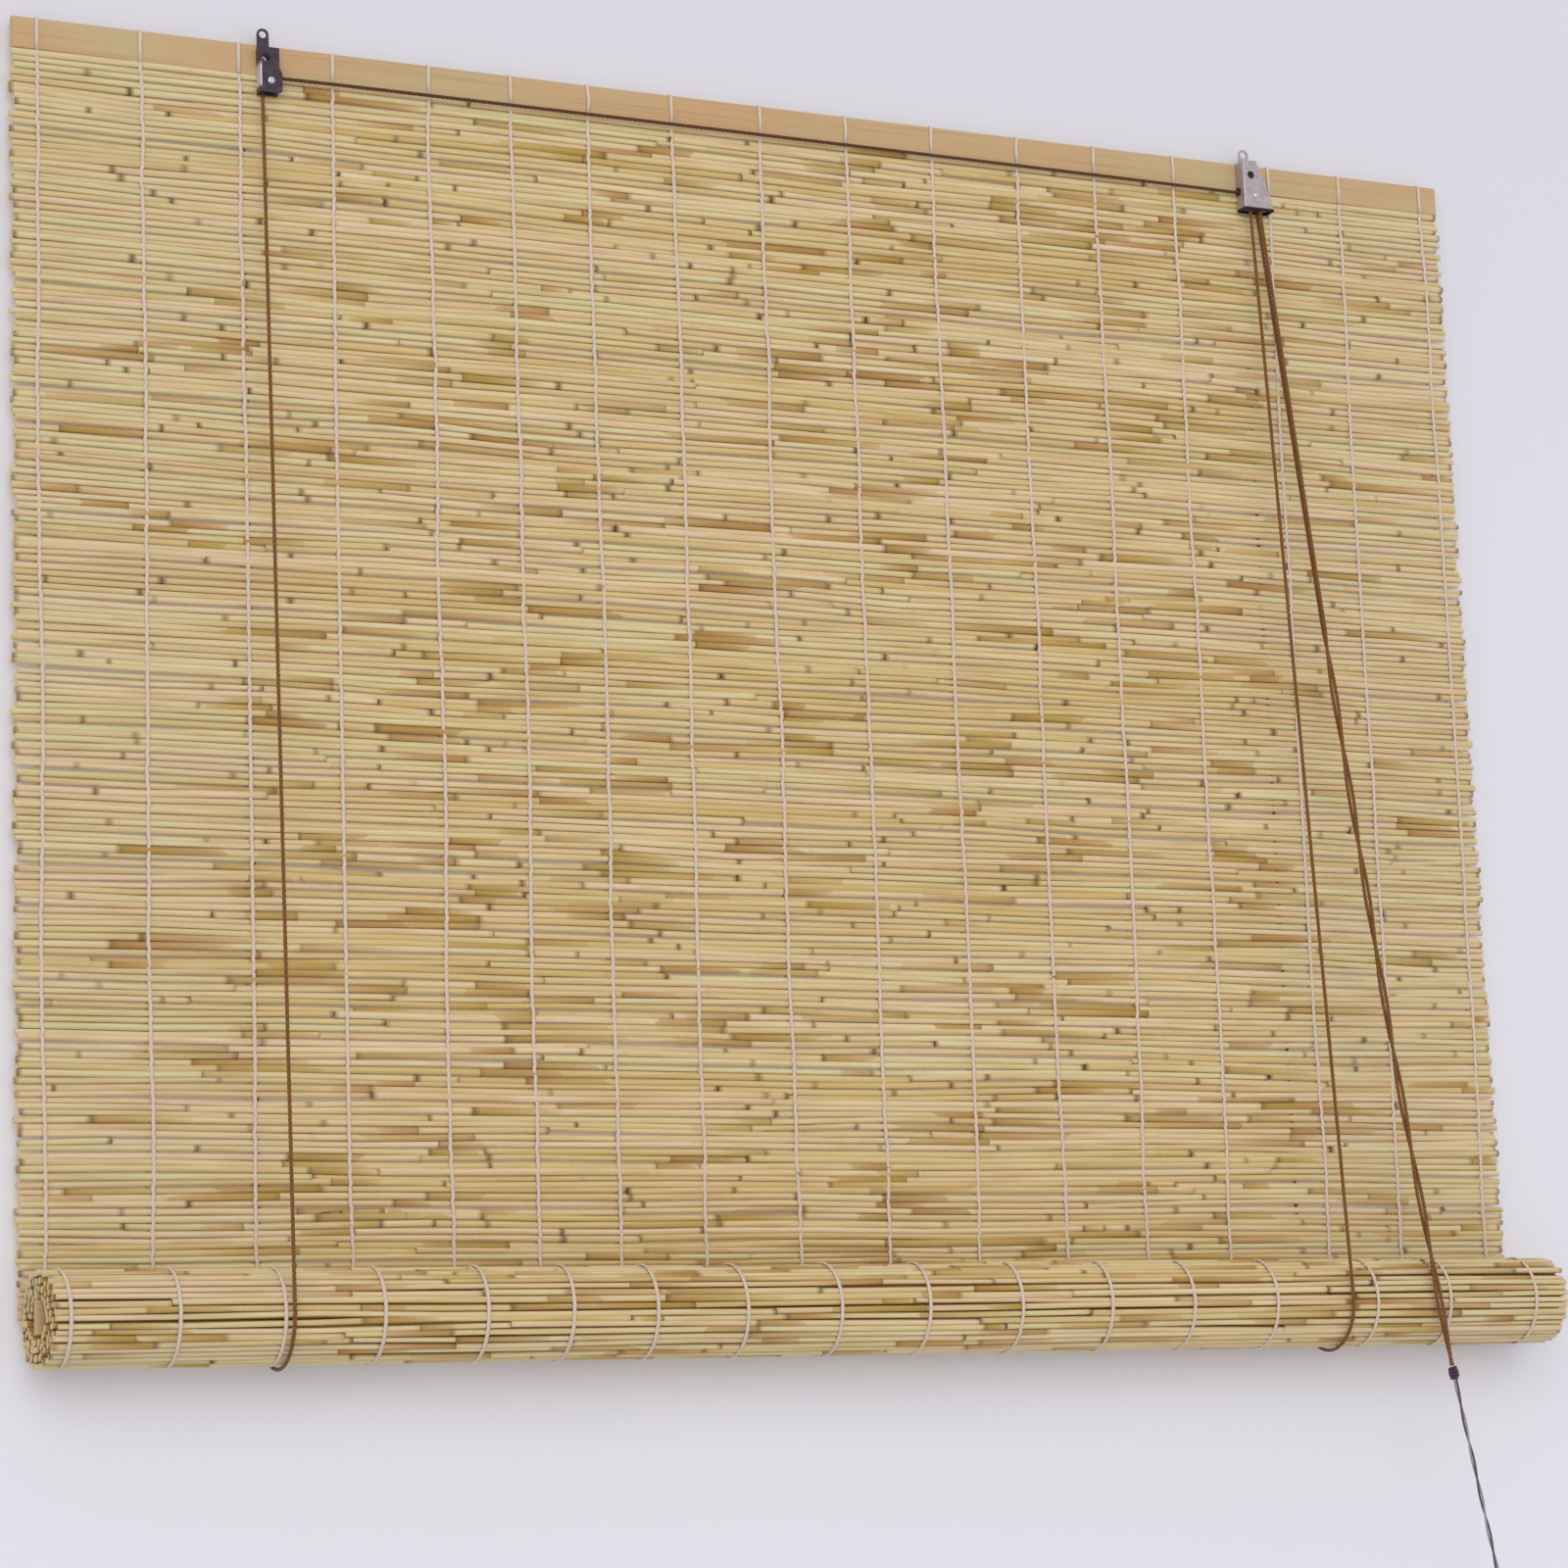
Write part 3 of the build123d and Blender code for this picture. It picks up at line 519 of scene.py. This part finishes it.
def joints_of(x0, x1, row):
    """Joints along one reed: the place of each, whether it is dark, and whether a leaf sheath is left on it."""
    spots = []
    at = x0 + rng.uniform(first_node, node_space[1])
    while row["rich"] and at < x1 - last_node:
        dark = rng.random() < dark_node_share
        likely = sheath_share * (sheath_on_dark if dark else sheath_on_pale) * np.interp(at, row["xs"], row["leaf"])
        spots.append((at, dark, rng.random() < likely))
        at += rng.uniform(*node_space)
    for beside in row["beside"]:
        near = beside + rng.normal(0, bunch_spread)
        if rng.random() < bunch_share and x0 + bunch_margin < near < x1 - bunch_margin:
            spots = [spot for spot in spots if abs(spot[0] - near) > bunch_clear]
            spots.append((near, rng.random() < dark_node_share, True))
    return [spot for spot in spots if spot[1] or spot[2] or rng.random() < plain_node_share]


def reed_piece(strands, x0, x1, row, dark_ends, open_ends):
    """One reed: tapered, a little bowed, with swollen joints, some dark, and sheaths on some of them."""
    tone, hue = rng.beta(*tone_spread), rng.beta(*hue_spread)
    slope, bow, depth = rng.normal(0, reed_lean), rng.normal(0, reed_bow), rng.normal(0, reed_depth)
    radius = row["radius"] * rng.uniform(*reed_spread)
    tip_first = rng.random() < 0.5
    spots = joints_of(x0, x1, row)
    stations = [(x0, 0, dark_ends[0]), (x0 + node_half, 0, 0), (x1 - node_half, 0, 0), (x1, 0, dark_ends[1])]
    for spot, dark, leafy in spots:
        mark = rng.uniform(*dark_ring) if dark else rng.uniform(*pale_ring)
        half = node_half * rng.uniform(*node_uneven)
        stations += [(spot - half, 0, 0), (spot, 1, mark), (spot + half, 0, 0)]
    if row["rich"]:
        taken = [s[0] for s in stations]
        plain = [x for x in np.arange(x0 + reed_step, x1, reed_step) if min(abs(x - t) for t in taken) > node_half]
        stations += [(x, 0, 0) for x in plain]
    stations = sorted(s for s in stations if x0 <= s[0] <= x1)
    places = np.array([s[0] for s in stations])
    share = (places - x0) / (x1 - x0)
    radii = radius * (1 - reed_taper * (1 - share if tip_first else share))
    radii += node_swell * np.array([s[1] for s in stations])
    lean = slope * (share - 0.5) * 2 + bow * np.sin(math.pi * share) + np.interp(places, row["xs"], row["drift"])
    out = row["out"]
    centres = row["centre"] + depth * out + np.outer(lean, (-out[1], out[0]))
    margin = np.clip((np.abs(places) - margin_start) / margin_wide, 0, 1)
    tones = np.clip(tone + rng.normal(0, tone_scatter, len(places)) - margin_pale * margin, 0, 1)
    hues = np.clip(hue + rng.normal(0, hue_scatter, len(places)), 0, 1)
    darks = np.maximum([s[2] for s in stations], margin_brown * margin)
    marks = np.stack([tones, darks, hues, 0 * places + row["painted_shade_leaf"]], axis=1)
    rings = along_x(places, radii, centres)
    first = strands.rings(rings, marks[:, None, :])
    for end, open_end in ((0, open_ends[0]), (-1, open_ends[1])):
        if open_end:
            hollow_end(strands, rings[end], marks[end], 1 if end == 0 else -1)
        else:
            strands.cap(first + (0 if end == 0 else (len(places) - 1) * reed_sides), reed_sides, end == 0)
    for spot, dark, leafy in spots:
        way = 1 if rng.random() < sheath_right else -1
        reach = min(rng.uniform(*sheath_length), (x1 - spot if way > 0 else spot - x0) - 2 * mm)
        if leafy and reach > sheath_least:
            leaf_sheath(strands, spot, spot + way * reach, places, radii, centres, marks)
            row["sheaths"].append(spot + rng.uniform(-0.3, 0.3) * reach)


def hollow_end(strands, rim, mark, inward):
    """The cut end of a reed: its pale wall, and pith or a hollow inside, darkened with painted shade, most in an open
    hollow.
    """
    hollow = 1.0 if rng.random() < hollow_odds else pith_depth
    middle = rim.mean(axis=0)
    rings = np.stack([middle + (rim - middle) * keep + (inward * deep, 0, 0) for keep, deep in (
        (1, 0), (hollow_share, 0), (hollow_share * 0.9, hollow * hollow_depth), (0.05, hollow * hollow_depth))])
    marks = np.stack([mark, mark, mark, mark])
    marks[:, (0, 3)] *= (cut_share, 0.0)
    # Painted shade inside the end, deepest on the hollow's floor
    marks[:, 1] = (mark[1] * cut_share, mark[1] * cut_share, hollow_shade[0] * hollow, hollow_shade[1] * hollow)
    strands.rings(rings[:, ::-1] if inward > 0 else rings, marks[:, None, :])


def leaf_sheath(strands, start, stop, places, radii, centres, reed_marks):
    """A dry sleeve round a reed, from a joint to where it frays out."""
    share = np.array([0.0, 0.07, 0.4, 0.75, 1.0])
    at = start + (stop - start) * share
    radius = np.interp(at, places, radii) + sheath_thick
    radius[-1] -= sheath_thick * 1.3
    centre = np.stack([np.interp(at, places, centres[:, i]) for i in range(2)], axis=1)
    rings = along_x(at, radius, centre)
    slant = rng.uniform(-sheath_slant, sheath_slant) * (stop - start)
    lean = np.sin(np.arange(reed_sides) * 2 * math.pi / reed_sides + rng.uniform(0, 2 * math.pi))
    rings[2:, :, 0] += slant * lean[None, :] * share[2:, None]
    rings[:, :, 0] = np.clip(rings[:, :, 0], places[0], places[-1])
    marks = np.stack([np.interp(at, places, reed_marks[:, i]) for i in range(4)], axis=1)
    cover, frayed = rng.uniform(*sheath_cover), rng.uniform(*sheath_fray)
    marks[:, 1] = (rng.uniform(*sheath_foot), 0.1, 0.0, 0.0, 0.0)
    marks[:, 3] = cover * (1 - frayed * np.array([0.0, 0.0, 0.1, 0.45, 1.0]))
    if stop < start:
        rings, marks = rings[::-1], marks[::-1]
    strands.rings(rings, marks[:, None, :])


def reed_row(strands, row):
    """A row of reeds, end to end across the blind. Returns the places of its sheaths."""
    row["sheaths"] = []
    left = row["xs"][0] + row["uneven"] * rng.uniform(-1, 1)
    right = row["xs"][-1] + row["uneven"] * rng.uniform(-1, 1)
    at = left - rng.uniform(0, reed_length[0])
    ends = []
    while at < right:
        at += rng.uniform(*reed_length)
        ends.append(at)
    ends = [end for end in ends if left + end_margin < end < right - end_margin] + [right]
    for count, end in enumerate(ends):
        open_ends = (count == 0, end == right)
        likely = [dark_end_share * (row["dark_edge"] if open_end else 1) for open_end in open_ends]
        dark = [rng.uniform(*dark_ring) if rng.random() < share else pale_end for share in likely]
        reed_piece(strands, left, end, row, dark, open_ends)
        left = end + rng.uniform(*reed_gap) * mm
    return row["sheaths"]


def mat_of_reeds():
    """The hanging mat: rows of reeds that wander together, with leaf left on in patches."""
    low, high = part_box("reed_mat")
    rows = int(round((high.z - low.z) / reed_pitch))
    xs = np.linspace(low.x, high.x, row_stations)
    drift = smooth_field(rows, row_stations, *drift_alike) * row_drift
    drift *= np.clip(np.minimum(np.arange(rows), np.arange(rows)[::-1]) / drift_fade, 0, 1)[:, None]
    leaf = np.clip(1 + leaf_uneven * smooth_field(rows, row_stations, *leaf_alike), leaf_least, leaf_most)
    leaf *= 1 - margin_bare * np.clip((np.abs(xs) - margin_start) / margin_wide, 0, 1)
    strands = Strands()
    beside = []
    for row in range(rows):
        beside = reed_row(strands, {
            "centre": ((low.y + high.y) / 2, high.z - (row + 0.5) * reed_pitch), "out": np.array([1.0, 0.0]),
            "xs": xs, "drift": drift[row], "leaf": leaf[row], "radius": reed_radius, "rich": True, "painted_shade_leaf": 0.0,
            "beside": beside, "dark_edge": edge_dark, "uneven": edge_uneven})
    return strands.make("mat_reeds", reed)


def roll_places():
    """Centres and outward directions, in Y and Z, of the reeds in the roll: under it, to its front, over and in."""
    low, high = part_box("mat_roll")
    axis_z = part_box("reed_mat")[0].z
    outer = axis_z - low.z
    places = []
    for half_turn in range(roll_turns * 2):
        r = outer - reed_pitch / 2 - half_turn * turn_pitch / 2
        over = half_turn % 2
        centre_y = high.y - outer - over * turn_pitch / 2
        count = int(round(math.pi * r / reed_pitch))
        for place in range(count):
            angle = (over + (place + 0.5) / count) * math.pi
            out = np.array([math.cos(angle), -math.sin(angle)])
            places.append((np.array([centre_y, axis_z]) + r * out, out, half_turn))
    return places


def roll_of_reeds():
    """The rolled-up mat: whole reeds in its outer turn, plainer ones inside, which only show at the ends and carry
    leaf colour as painted shade.
    """
    low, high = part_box("mat_roll")
    strands = Strands()
    places = roll_places()
    drift = smooth_field(len(places), row_stations, 1, drift_alike[1]) * roll_drift
    beside = []
    for row, (centre, out, half_turn) in enumerate(places):
        outer = half_turn < 2
        forward_share = max(0, (low.y + high.y) / 2 - centre[0]) / ((high.y - low.y) / 2)
        xs = np.linspace(low.x + roll_slant * forward_share, high.x, row_stations)
        # Inside the roll, leaf colour over the reeds is painted shade
        beside = reed_row(strands, {
            "centre": centre, "out": out, "xs": xs, "drift": drift[row] if outer else 0 * xs,
            "leaf": 0 * xs + roll_leaf, "radius": reed_radius * (roll_reed_share if outer else 1.0), "rich": outer,
            "painted_shade_leaf": 0.0 if outer else inner_painted_shade, "beside": beside, "dark_edge": roll_edge_dark,
            "uneven": roll_uneven})
    return strands.make("roll_reeds", reed)


# Warp threads

def thread_places():
    """Where the warp threads cross the blind, read from the CAD threads."""
    xs = sorted({round(corner.co.x, 5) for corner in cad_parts["mat_threads_front"].data.vertices})
    return [(a + b) / 2 for a, b in zip(xs[::2], xs[1::2])]


def thread_line(strands, points):
    """One flat thread along its points."""
    strands.closed(tube_rings(np.asarray(points), thread_wide, thread_thin, thread_sides))


def mat_threads(side):
    """Stitches down one face of the mat: out over each reed, and in between two reeds."""
    low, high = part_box("reed_mat")
    out = -1 if side == "front" else 1
    face = low.y if side == "front" else high.y
    rows = int(round((high.z - low.z) / reed_pitch))
    strands = Strands()
    for x in thread_places():
        wander = np.cumsum(rng.normal(0, thread_drift, rows * 2 + 1))
        wander -= np.linspace(wander[0], wander[-1], len(wander))
        wander = np.clip(wander, -thread_wander, thread_wander)
        points = []
        for half_row in range(rows * 2 + 1):
            y = face + out * (thread_thin * thread_lift if half_row % 2 else -thread_dip)
            zigzag = thread_zigzag if half_row % 4 < 2 else -thread_zigzag
            points.append((x + wander[half_row] + zigzag, y, high.z - half_row * reed_pitch / 2))
        thread_line(strands, points)
    return strands.make(f"mat_stitches_{side}", warp_cotton)


def slat_loops():
    """Threads over the head slat, down its front and its back."""
    low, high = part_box("head_slat")
    out, bend = thread_thin, loop_bend
    strands = Strands()
    for x in thread_places():
        lean = rng.normal(0, loop_lean)
        front = [(x, low.y - out, low.z), (x + lean, low.y - out, (low.z + high.z) / 2),
                 (x, low.y - out, high.z - bend), (x, low.y + bend * 0.3 - out * 0.6, high.z + out * 0.2),
                 (x, low.y + bend, high.z + out)]
        back = [(px, low.y + high.y - py, pz) for px, py, pz in reversed(front)]
        thread_line(strands, front + back)
    return strands.make("slat_loops", warp_cotton)


def roll_stitches():
    """Threads round the outside of the roll, over each reed and in between two reeds."""
    outer = [(centre, out) for centre, out, half_turn in roll_places() if half_turn < 2]
    outer = outer[:int(len(outer) * roll_thread_share)]
    strands = Strands()
    for x in thread_places():
        sway = rng.normal(0, roll_thread_sway)
        points = []
        for count, (centre, out) in enumerate(outer):
            following = outer[min(count + 1, len(outer) - 1)][0]
            swayed = x + sway * math.sin(count / sway_reeds)
            crest = centre + out * (reed_pitch / 2 + thread_thin * roll_thread_lift)
            dip = (centre + following) / 2 + out * (reed_pitch / 2 - thread_dip)
            points += [(swayed, *crest), (swayed, *dip)]
        thread_line(strands, points[:-1])
    return strands.make("roll_stitches", warp_cotton)


# Cords

def box_middle(name):
    """The middle of a CAD node's box."""
    low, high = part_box(name)
    return (low + high) / 2


def cord_piece(name, points, finish=lift_cord, diameter=cord_d, plies=3, lay=cord_lay):
    """A twisted cord along the points of its spline."""
    strands = Strands()
    twisted(strands, points, diameter, plies, lay)
    return strands.make(name, finish)


def lift_run(name, route, finish=lift_cord):
    """A stretch of lift cord along the spline of its route."""
    return cord_piece(name, nurbs_points(route), finish)


def front_cord(side, top):
    """The lift cord in front of the mat, from its housing down to the sling."""
    low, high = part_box(f"{side}_cord_sling")
    return lift_run(f"{side}_front_lift", [top, ((low.x + high.x) / 2, low.y + cord_d / 2, high.z)])


def back_cord(side):
    """The lift cord behind the mat, from its staple down to the sling."""
    low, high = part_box(f"{side}_back_cord")
    middle = (low + high) / 2
    return lift_run(f"{side}_back_lift", [(middle.x, middle.y, high.z), (middle.x, middle.y, low.z)])


def bearing(across, along, radius, start, stop, count):
    """Corners of the line that bears on a round from outside, from one angle to another."""
    step = math.radians(stop - start) / count
    angles = [math.radians(start) + (corner + 0.5) * step for corner in range(count)]
    reach = radius / math.cos(step / 2)
    return [(across + reach * math.cos(a), along + reach * math.sin(a)) for a in angles]


def sling(side):
    """The lift cord under the roll, from its front to its back."""
    low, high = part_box(f"{side}_cord_sling")
    x, y, radius = (low.x + high.x) / 2, (low.y + high.y) / 2, (high.y - low.y - cord_d) / 2
    under = bearing(y, high.z, radius, 180, 360, 8)
    route = [(x, y - radius, high.z)] + [(x, *corner) for corner in under] + [(x, y + radius, high.z)]
    return lift_run(f"{side}_sling", route)


def head_run():
    """The left lift cord over its wheel, along the slat and over the lock's back sheave."""
    low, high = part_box("head_cord")
    wheel, sheave = box_middle("left_wheel"), box_middle("lock_back_sheave")
    line_z = high.z - cord_d / 2
    first = bearing(wheel.x, wheel.z, line_z - wheel.z, 180, 90, 2)
    last = bearing(sheave.x, sheave.z, line_z - sheave.z, 90, 0, 2)
    route = [(low.x + cord_d / 2, wheel.y, low.z)] + [(x, wheel.y, z) for x, z in first]
    route += [(x, sheave.y, z) for x, z in last] + [(high.x - cord_d / 2, sheave.y, low.z)]
    # The head run takes the darker copy of the cord: painted shade
    return lift_run("head_lift", route, painted_shade_cord)


def lock_turn():
    """The right lift cord over the lock's front sheave."""
    low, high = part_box("lift_cord_turn")
    sheave = box_middle("lock_front_sheave")
    left, right = low.x + cord_d / 2, high.x - cord_d / 2
    over = bearing(sheave.x, sheave.z, (right - left) / 2, 180, 0, 4)
    route = [(left, sheave.y, low.z)] + [(x, sheave.y, z) for x, z in over] + [(right, sheave.y, low.z)]
    return lift_run("lock_lift", route)


def strand_paths():
    """The two strands of the pull cord: side by side at first, then loosely round each other."""
    middle = (np.array(back_exit) + np.array(front_exit)) / 2
    line, places = even_steps(nurbs_points([tuple(middle), pull_bend, pull_at_roll, pull_knot_top]), strand_step)
    _, u, v = frames_along(line)
    reach = places / places[-1]
    begin = (np.array(front_exit) - np.array(back_exit)) / 2
    first_angle = math.atan2(np.dot(begin, v[0]), np.dot(begin, u[0]))
    free = np.clip(reach * strand_close, 0, 1)
    spread = np.linalg.norm(begin) * (1 - free) + strand_pitch / 2 * free
    angle = first_angle + 2 * math.pi * np.maximum(0, places - strand_plain) / strand_turn
    side = spread[:, None] * (np.cos(angle)[:, None] * u + np.sin(angle)[:, None] * v)
    return line - side, line + side


def wrap_knot(name, top, way, size, finish):
    """A barrel knot: a few tight wraps of yarn round the cord."""
    radius, length, yarn, turns = size
    way = np.array(way) / np.linalg.norm(way)
    u = np.cross(way, (0, 1.0, 0))
    u /= np.linalg.norm(u)
    v = np.cross(way, u)
    share = np.linspace(0, 1, turns * wrap_steps)
    angle = share * 2 * math.pi * turns
    swell = (radius - yarn) * (1 - knot_swell + knot_swell * np.sin(math.pi * share) ** 0.5)
    points = np.array(top) + np.outer(yarn + share * (length - 2 * yarn), way)
    points = points + swell[:, None] * (np.cos(angle)[:, None] * u + np.sin(angle)[:, None] * v)
    strands = Strands()
    strands.closed(tube_rings(points, yarn, yarn, 8))
    core = np.array(top) + np.outer(np.linspace(0.05, 0.95, 6) * length, way)
    strands.closed(tube_rings(core, radius * knot_core, radius * knot_core, 8))
    return strands.make(name, finish)


# Pieces on the frame


def on_head(piece, slot, *nodes):
    """The piece moves with the head, and stands for these CAD nodes."""
    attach(piece, "head")
    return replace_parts(piece, *nodes)


def shrinks(piece):
    """Gives the piece its own copy of its mesh; it is a piece that is taken up from below as the roll rises."""
    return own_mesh(piece)


mat = on_head(mat_of_reeds(), "reed", "reed_mat")
shrinks(mat)
for side in ("front", "back"):
    stitches = on_head(mat_threads(side), "warp_thread", f"mat_threads_{side}")
    shrinks(stitches)
on_head(slat_loops(), "warp_thread", "slat_bindings")

roll = roll_of_reeds()
roll_thread = roll_stitches()
for piece, slot, cad in ((roll, "reed", "mat_roll"), (roll_thread, "warp_thread", "roll_threads")):
    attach(piece, "roll")
    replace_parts(piece, cad)

on_head(head_run(), "cord", "head_cord")
on_head(lock_turn(), "cord", "lift_cord_turn")
left_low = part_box("head_cord")[0]
left_mouth = (left_low.x + cord_d / 2, box_middle("left_wheel").y, left_low.z)
right_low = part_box("lift_cord_turn")[0]
right_mouth = (right_low.x + cord_d / 2, box_middle("lock_front_sheave").y, right_low.z)
for side, top in (("left", left_mouth), ("right", right_mouth)):
    run = on_head(front_cord(side, top), "cord", f"{side}_front_cord")
    shrinks(run)
    run = on_head(back_cord(side), "cord", f"{side}_back_cord")
    shrinks(run)
    under = sling(side)
    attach(under, "cord_slings")
    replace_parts(under, f"{side}_cord_sling")

knot_way = np.array(twine_end) - np.array(pull_knot_top)
knot_way /= np.linalg.norm(knot_way)
knot_top = np.array(pull_knot_top) + knot_way * knot_gap
knot_foot = knot_top + knot_way * pull_knot_size[1]
knot = on_head(wrap_knot("pull_wraps", knot_top, knot_way, pull_knot_size, dark_knot), "twine", "pull_knot")
end_knot = on_head(wrap_knot("twine_wraps", twine_end, knot_way, end_knot_size, plum_twine), "twine", "twine_end_knot")
back_path, front_path = strand_paths()
back_strand = on_head(cord_piece("pull_cord_back", back_path), "cord", "pull_strand_back")
front_strand = on_head(cord_piece("pull_cord_front", front_path), "cord", "pull_strand_front")
twine_path = nurbs_points([tuple(knot_foot), tuple((knot_foot + np.array(twine_end)) / 2), twine_end])
twine = on_head(cord_piece("pull_twine_plies", twine_path, plum_twine, twine_d, 2, twine_lay), "twine", "pull_twine")
for piece in (knot, end_knot, back_strand, front_strand, twine):
    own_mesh(piece)


finishes = {
    "head_slat": lath, "bottom_lath": lath, "left_housing": black_lacquer, "left_axle": bright_steel,
    "left_wheel": nylon, "lock_housing": zinc_plate, "lock_axle": bright_steel, "lock_back_sheave": nylon,
    "lock_front_sheave": nylon, "jam_roller": bright_steel, "cord_eyelet": nylon, "fixing_screws": bright_steel,
    "cord_staples": bright_steel,
}
for name, made in finishes.items():
    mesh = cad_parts[name].data
    mesh.materials.clear()
    mesh.materials.append(made)


# Stage, light and camera

def plain_paint(name, colour):
    """Matt emulsion with a faint roller texture, and painted light that makes it brighter towards the bottom."""
    made, tree, shader = material(name, Roughness=0.9, Specular_IOR_Level=0.1)
    place = node(tree, "ShaderNodeTexCoord")
    stipple = node(tree, "ShaderNodeTexNoise", {"Vector": place.outputs["Object"], "Scale": 0.3 / mm, "Detail": 2.0})
    cloud = node(tree, "ShaderNodeTexNoise", {"Vector": place.outputs["Object"], "Scale": 1.5, "Detail": 1.0})
    share = node(tree, "ShaderNodeMapRange", {"Value": cloud.outputs["Fac"], "To Min": 0.98, "To Max": 1.02})
    height = node(tree, "ShaderNodeSeparateXYZ", {"Vector": place.outputs["Object"]})
    # Painted light: brighter towards the bottom; the floor lies below this ramp and stays evenly bright
    painted_light_below = node(tree, "ShaderNodeMapRange", {"Value": height.outputs["Z"], "From Min": 0.1, "From Max": -1.1,
                                              "To Min": 0.95, "To Max": 1.06})
    both = node(tree, "ShaderNodeMath", {0: share.outputs["Result"], 1: painted_light_below.outputs["Result"]}, operation="MULTIPLY")
    tone = node(tree, "ShaderNodeMix", {0: 1.0, 6: linear(colour), 7: both.outputs["Value"]}, data_type="RGBA",
                blend_type="MULTIPLY")
    tree.links.new(tone.outputs[2], shader.inputs["Base Color"])
    relief = node(tree, "ShaderNodeBump", {"Height": stipple.outputs["Fac"], "Strength": 0.05, "Distance": 0.5 * mm})
    tree.links.new(relief.outputs["Normal"], shader.inputs["Normal"])
    return made, tree, shader


def plane(name, corners):
    """A flat stage piece."""
    mesh = bpy.data.meshes.new(name)
    mesh.from_pydata(corners, [], [(0, 1, 2, 3)])
    made = bpy.data.objects.new(name, mesh)
    bpy.context.scene.collection.objects.link(made)
    return made


floor_z = cad_box[0].z - floor_drop
reach = backdrop_size / 2
backdrop = plane("backdrop", [(-reach, backdrop_gap, floor_z), (reach, backdrop_gap, floor_z),
                              (reach, backdrop_gap, floor_z + reach), (-reach, backdrop_gap, floor_z + reach)])
backdrop_paint, paint_tree, paint_shader = plain_paint("backdrop_paint", "#DDDCE1")
# Clear from behind, so that the blind's back shows
one_sided = node(paint_tree, "ShaderNodeMixShader", {
    0: node(paint_tree, "ShaderNodeNewGeometry").outputs["Backfacing"], 1: paint_shader.outputs["BSDF"],
    2: node(paint_tree, "ShaderNodeBsdfTransparent").outputs["BSDF"]})
paint_tree.links.new(one_sided.outputs["Shader"], paint_tree.nodes["Material Output"].inputs["Surface"])
backdrop.data.materials.append(backdrop_paint)
for rays in ("visible_shadow", "visible_diffuse", "visible_glossy", "visible_transmission"):
    setattr(backdrop, rays, False)
floor = plane("floor", [(-reach, -reach, floor_z), (reach, -reach, floor_z), (reach, reach, floor_z),
                        (-reach, reach, floor_z)])
floor.data.materials.append(plain_paint("floor_paint", "#DEDDE0")[0])

world = bpy.data.worlds.new("soft_room")
world.use_nodes = True
world.node_tree.nodes["Background"].inputs["Color"].default_value = linear("#F4F5FA")
world.node_tree.nodes["Background"].inputs["Strength"].default_value = 0.75
bpy.context.scene.world = world


def sun_light(name, side, spread, strength, colour):
    """Soft light from one side, alike all over the blind."""
    lamp = bpy.data.lights.new(name, "SUN")
    lamp.energy = strength
    lamp.angle = math.radians(spread)
    lamp.color = linear(colour)[:3]
    holder = bpy.data.objects.new(name, lamp)
    holder.rotation_euler = Vector(side).to_track_quat("Z", "Y").to_euler()
    bpy.context.scene.collection.objects.link(holder)


sun_light("ceiling_light", (-0.3, -1.0, 0.4), 50, 0.8, "#FFFCF6")
sun_light("room_light", (-0.6, -1.0, -0.35), 120, 0.72, "#F6F8FF")
sun_light("back_light", (0.6, 1.0, 0.6), 90, 0.6, "#FFFFFF")

camera = bpy.data.objects.new("camera", bpy.data.cameras.new("camera"))
turn = (Matrix.Rotation(math.radians(camera_yaw), 3, "Z") @ Matrix.Rotation(math.radians(camera_pitch), 3, "X")
        @ Matrix.Rotation(math.radians(camera_roll), 3, "Y"))
right, ahead, upward = (turn.col[i] for i in range(3))
camera.matrix_world = Matrix.Translation(camera_place) @ Matrix((right, upward, -ahead)).transposed().to_4x4()
camera.data.sensor_width = camera_sensor
camera.data.lens = camera_lens
bpy.context.scene.collection.objects.link(camera)
bpy.context.scene.camera = camera
bpy.context.scene.view_settings.view_transform = "Standard"
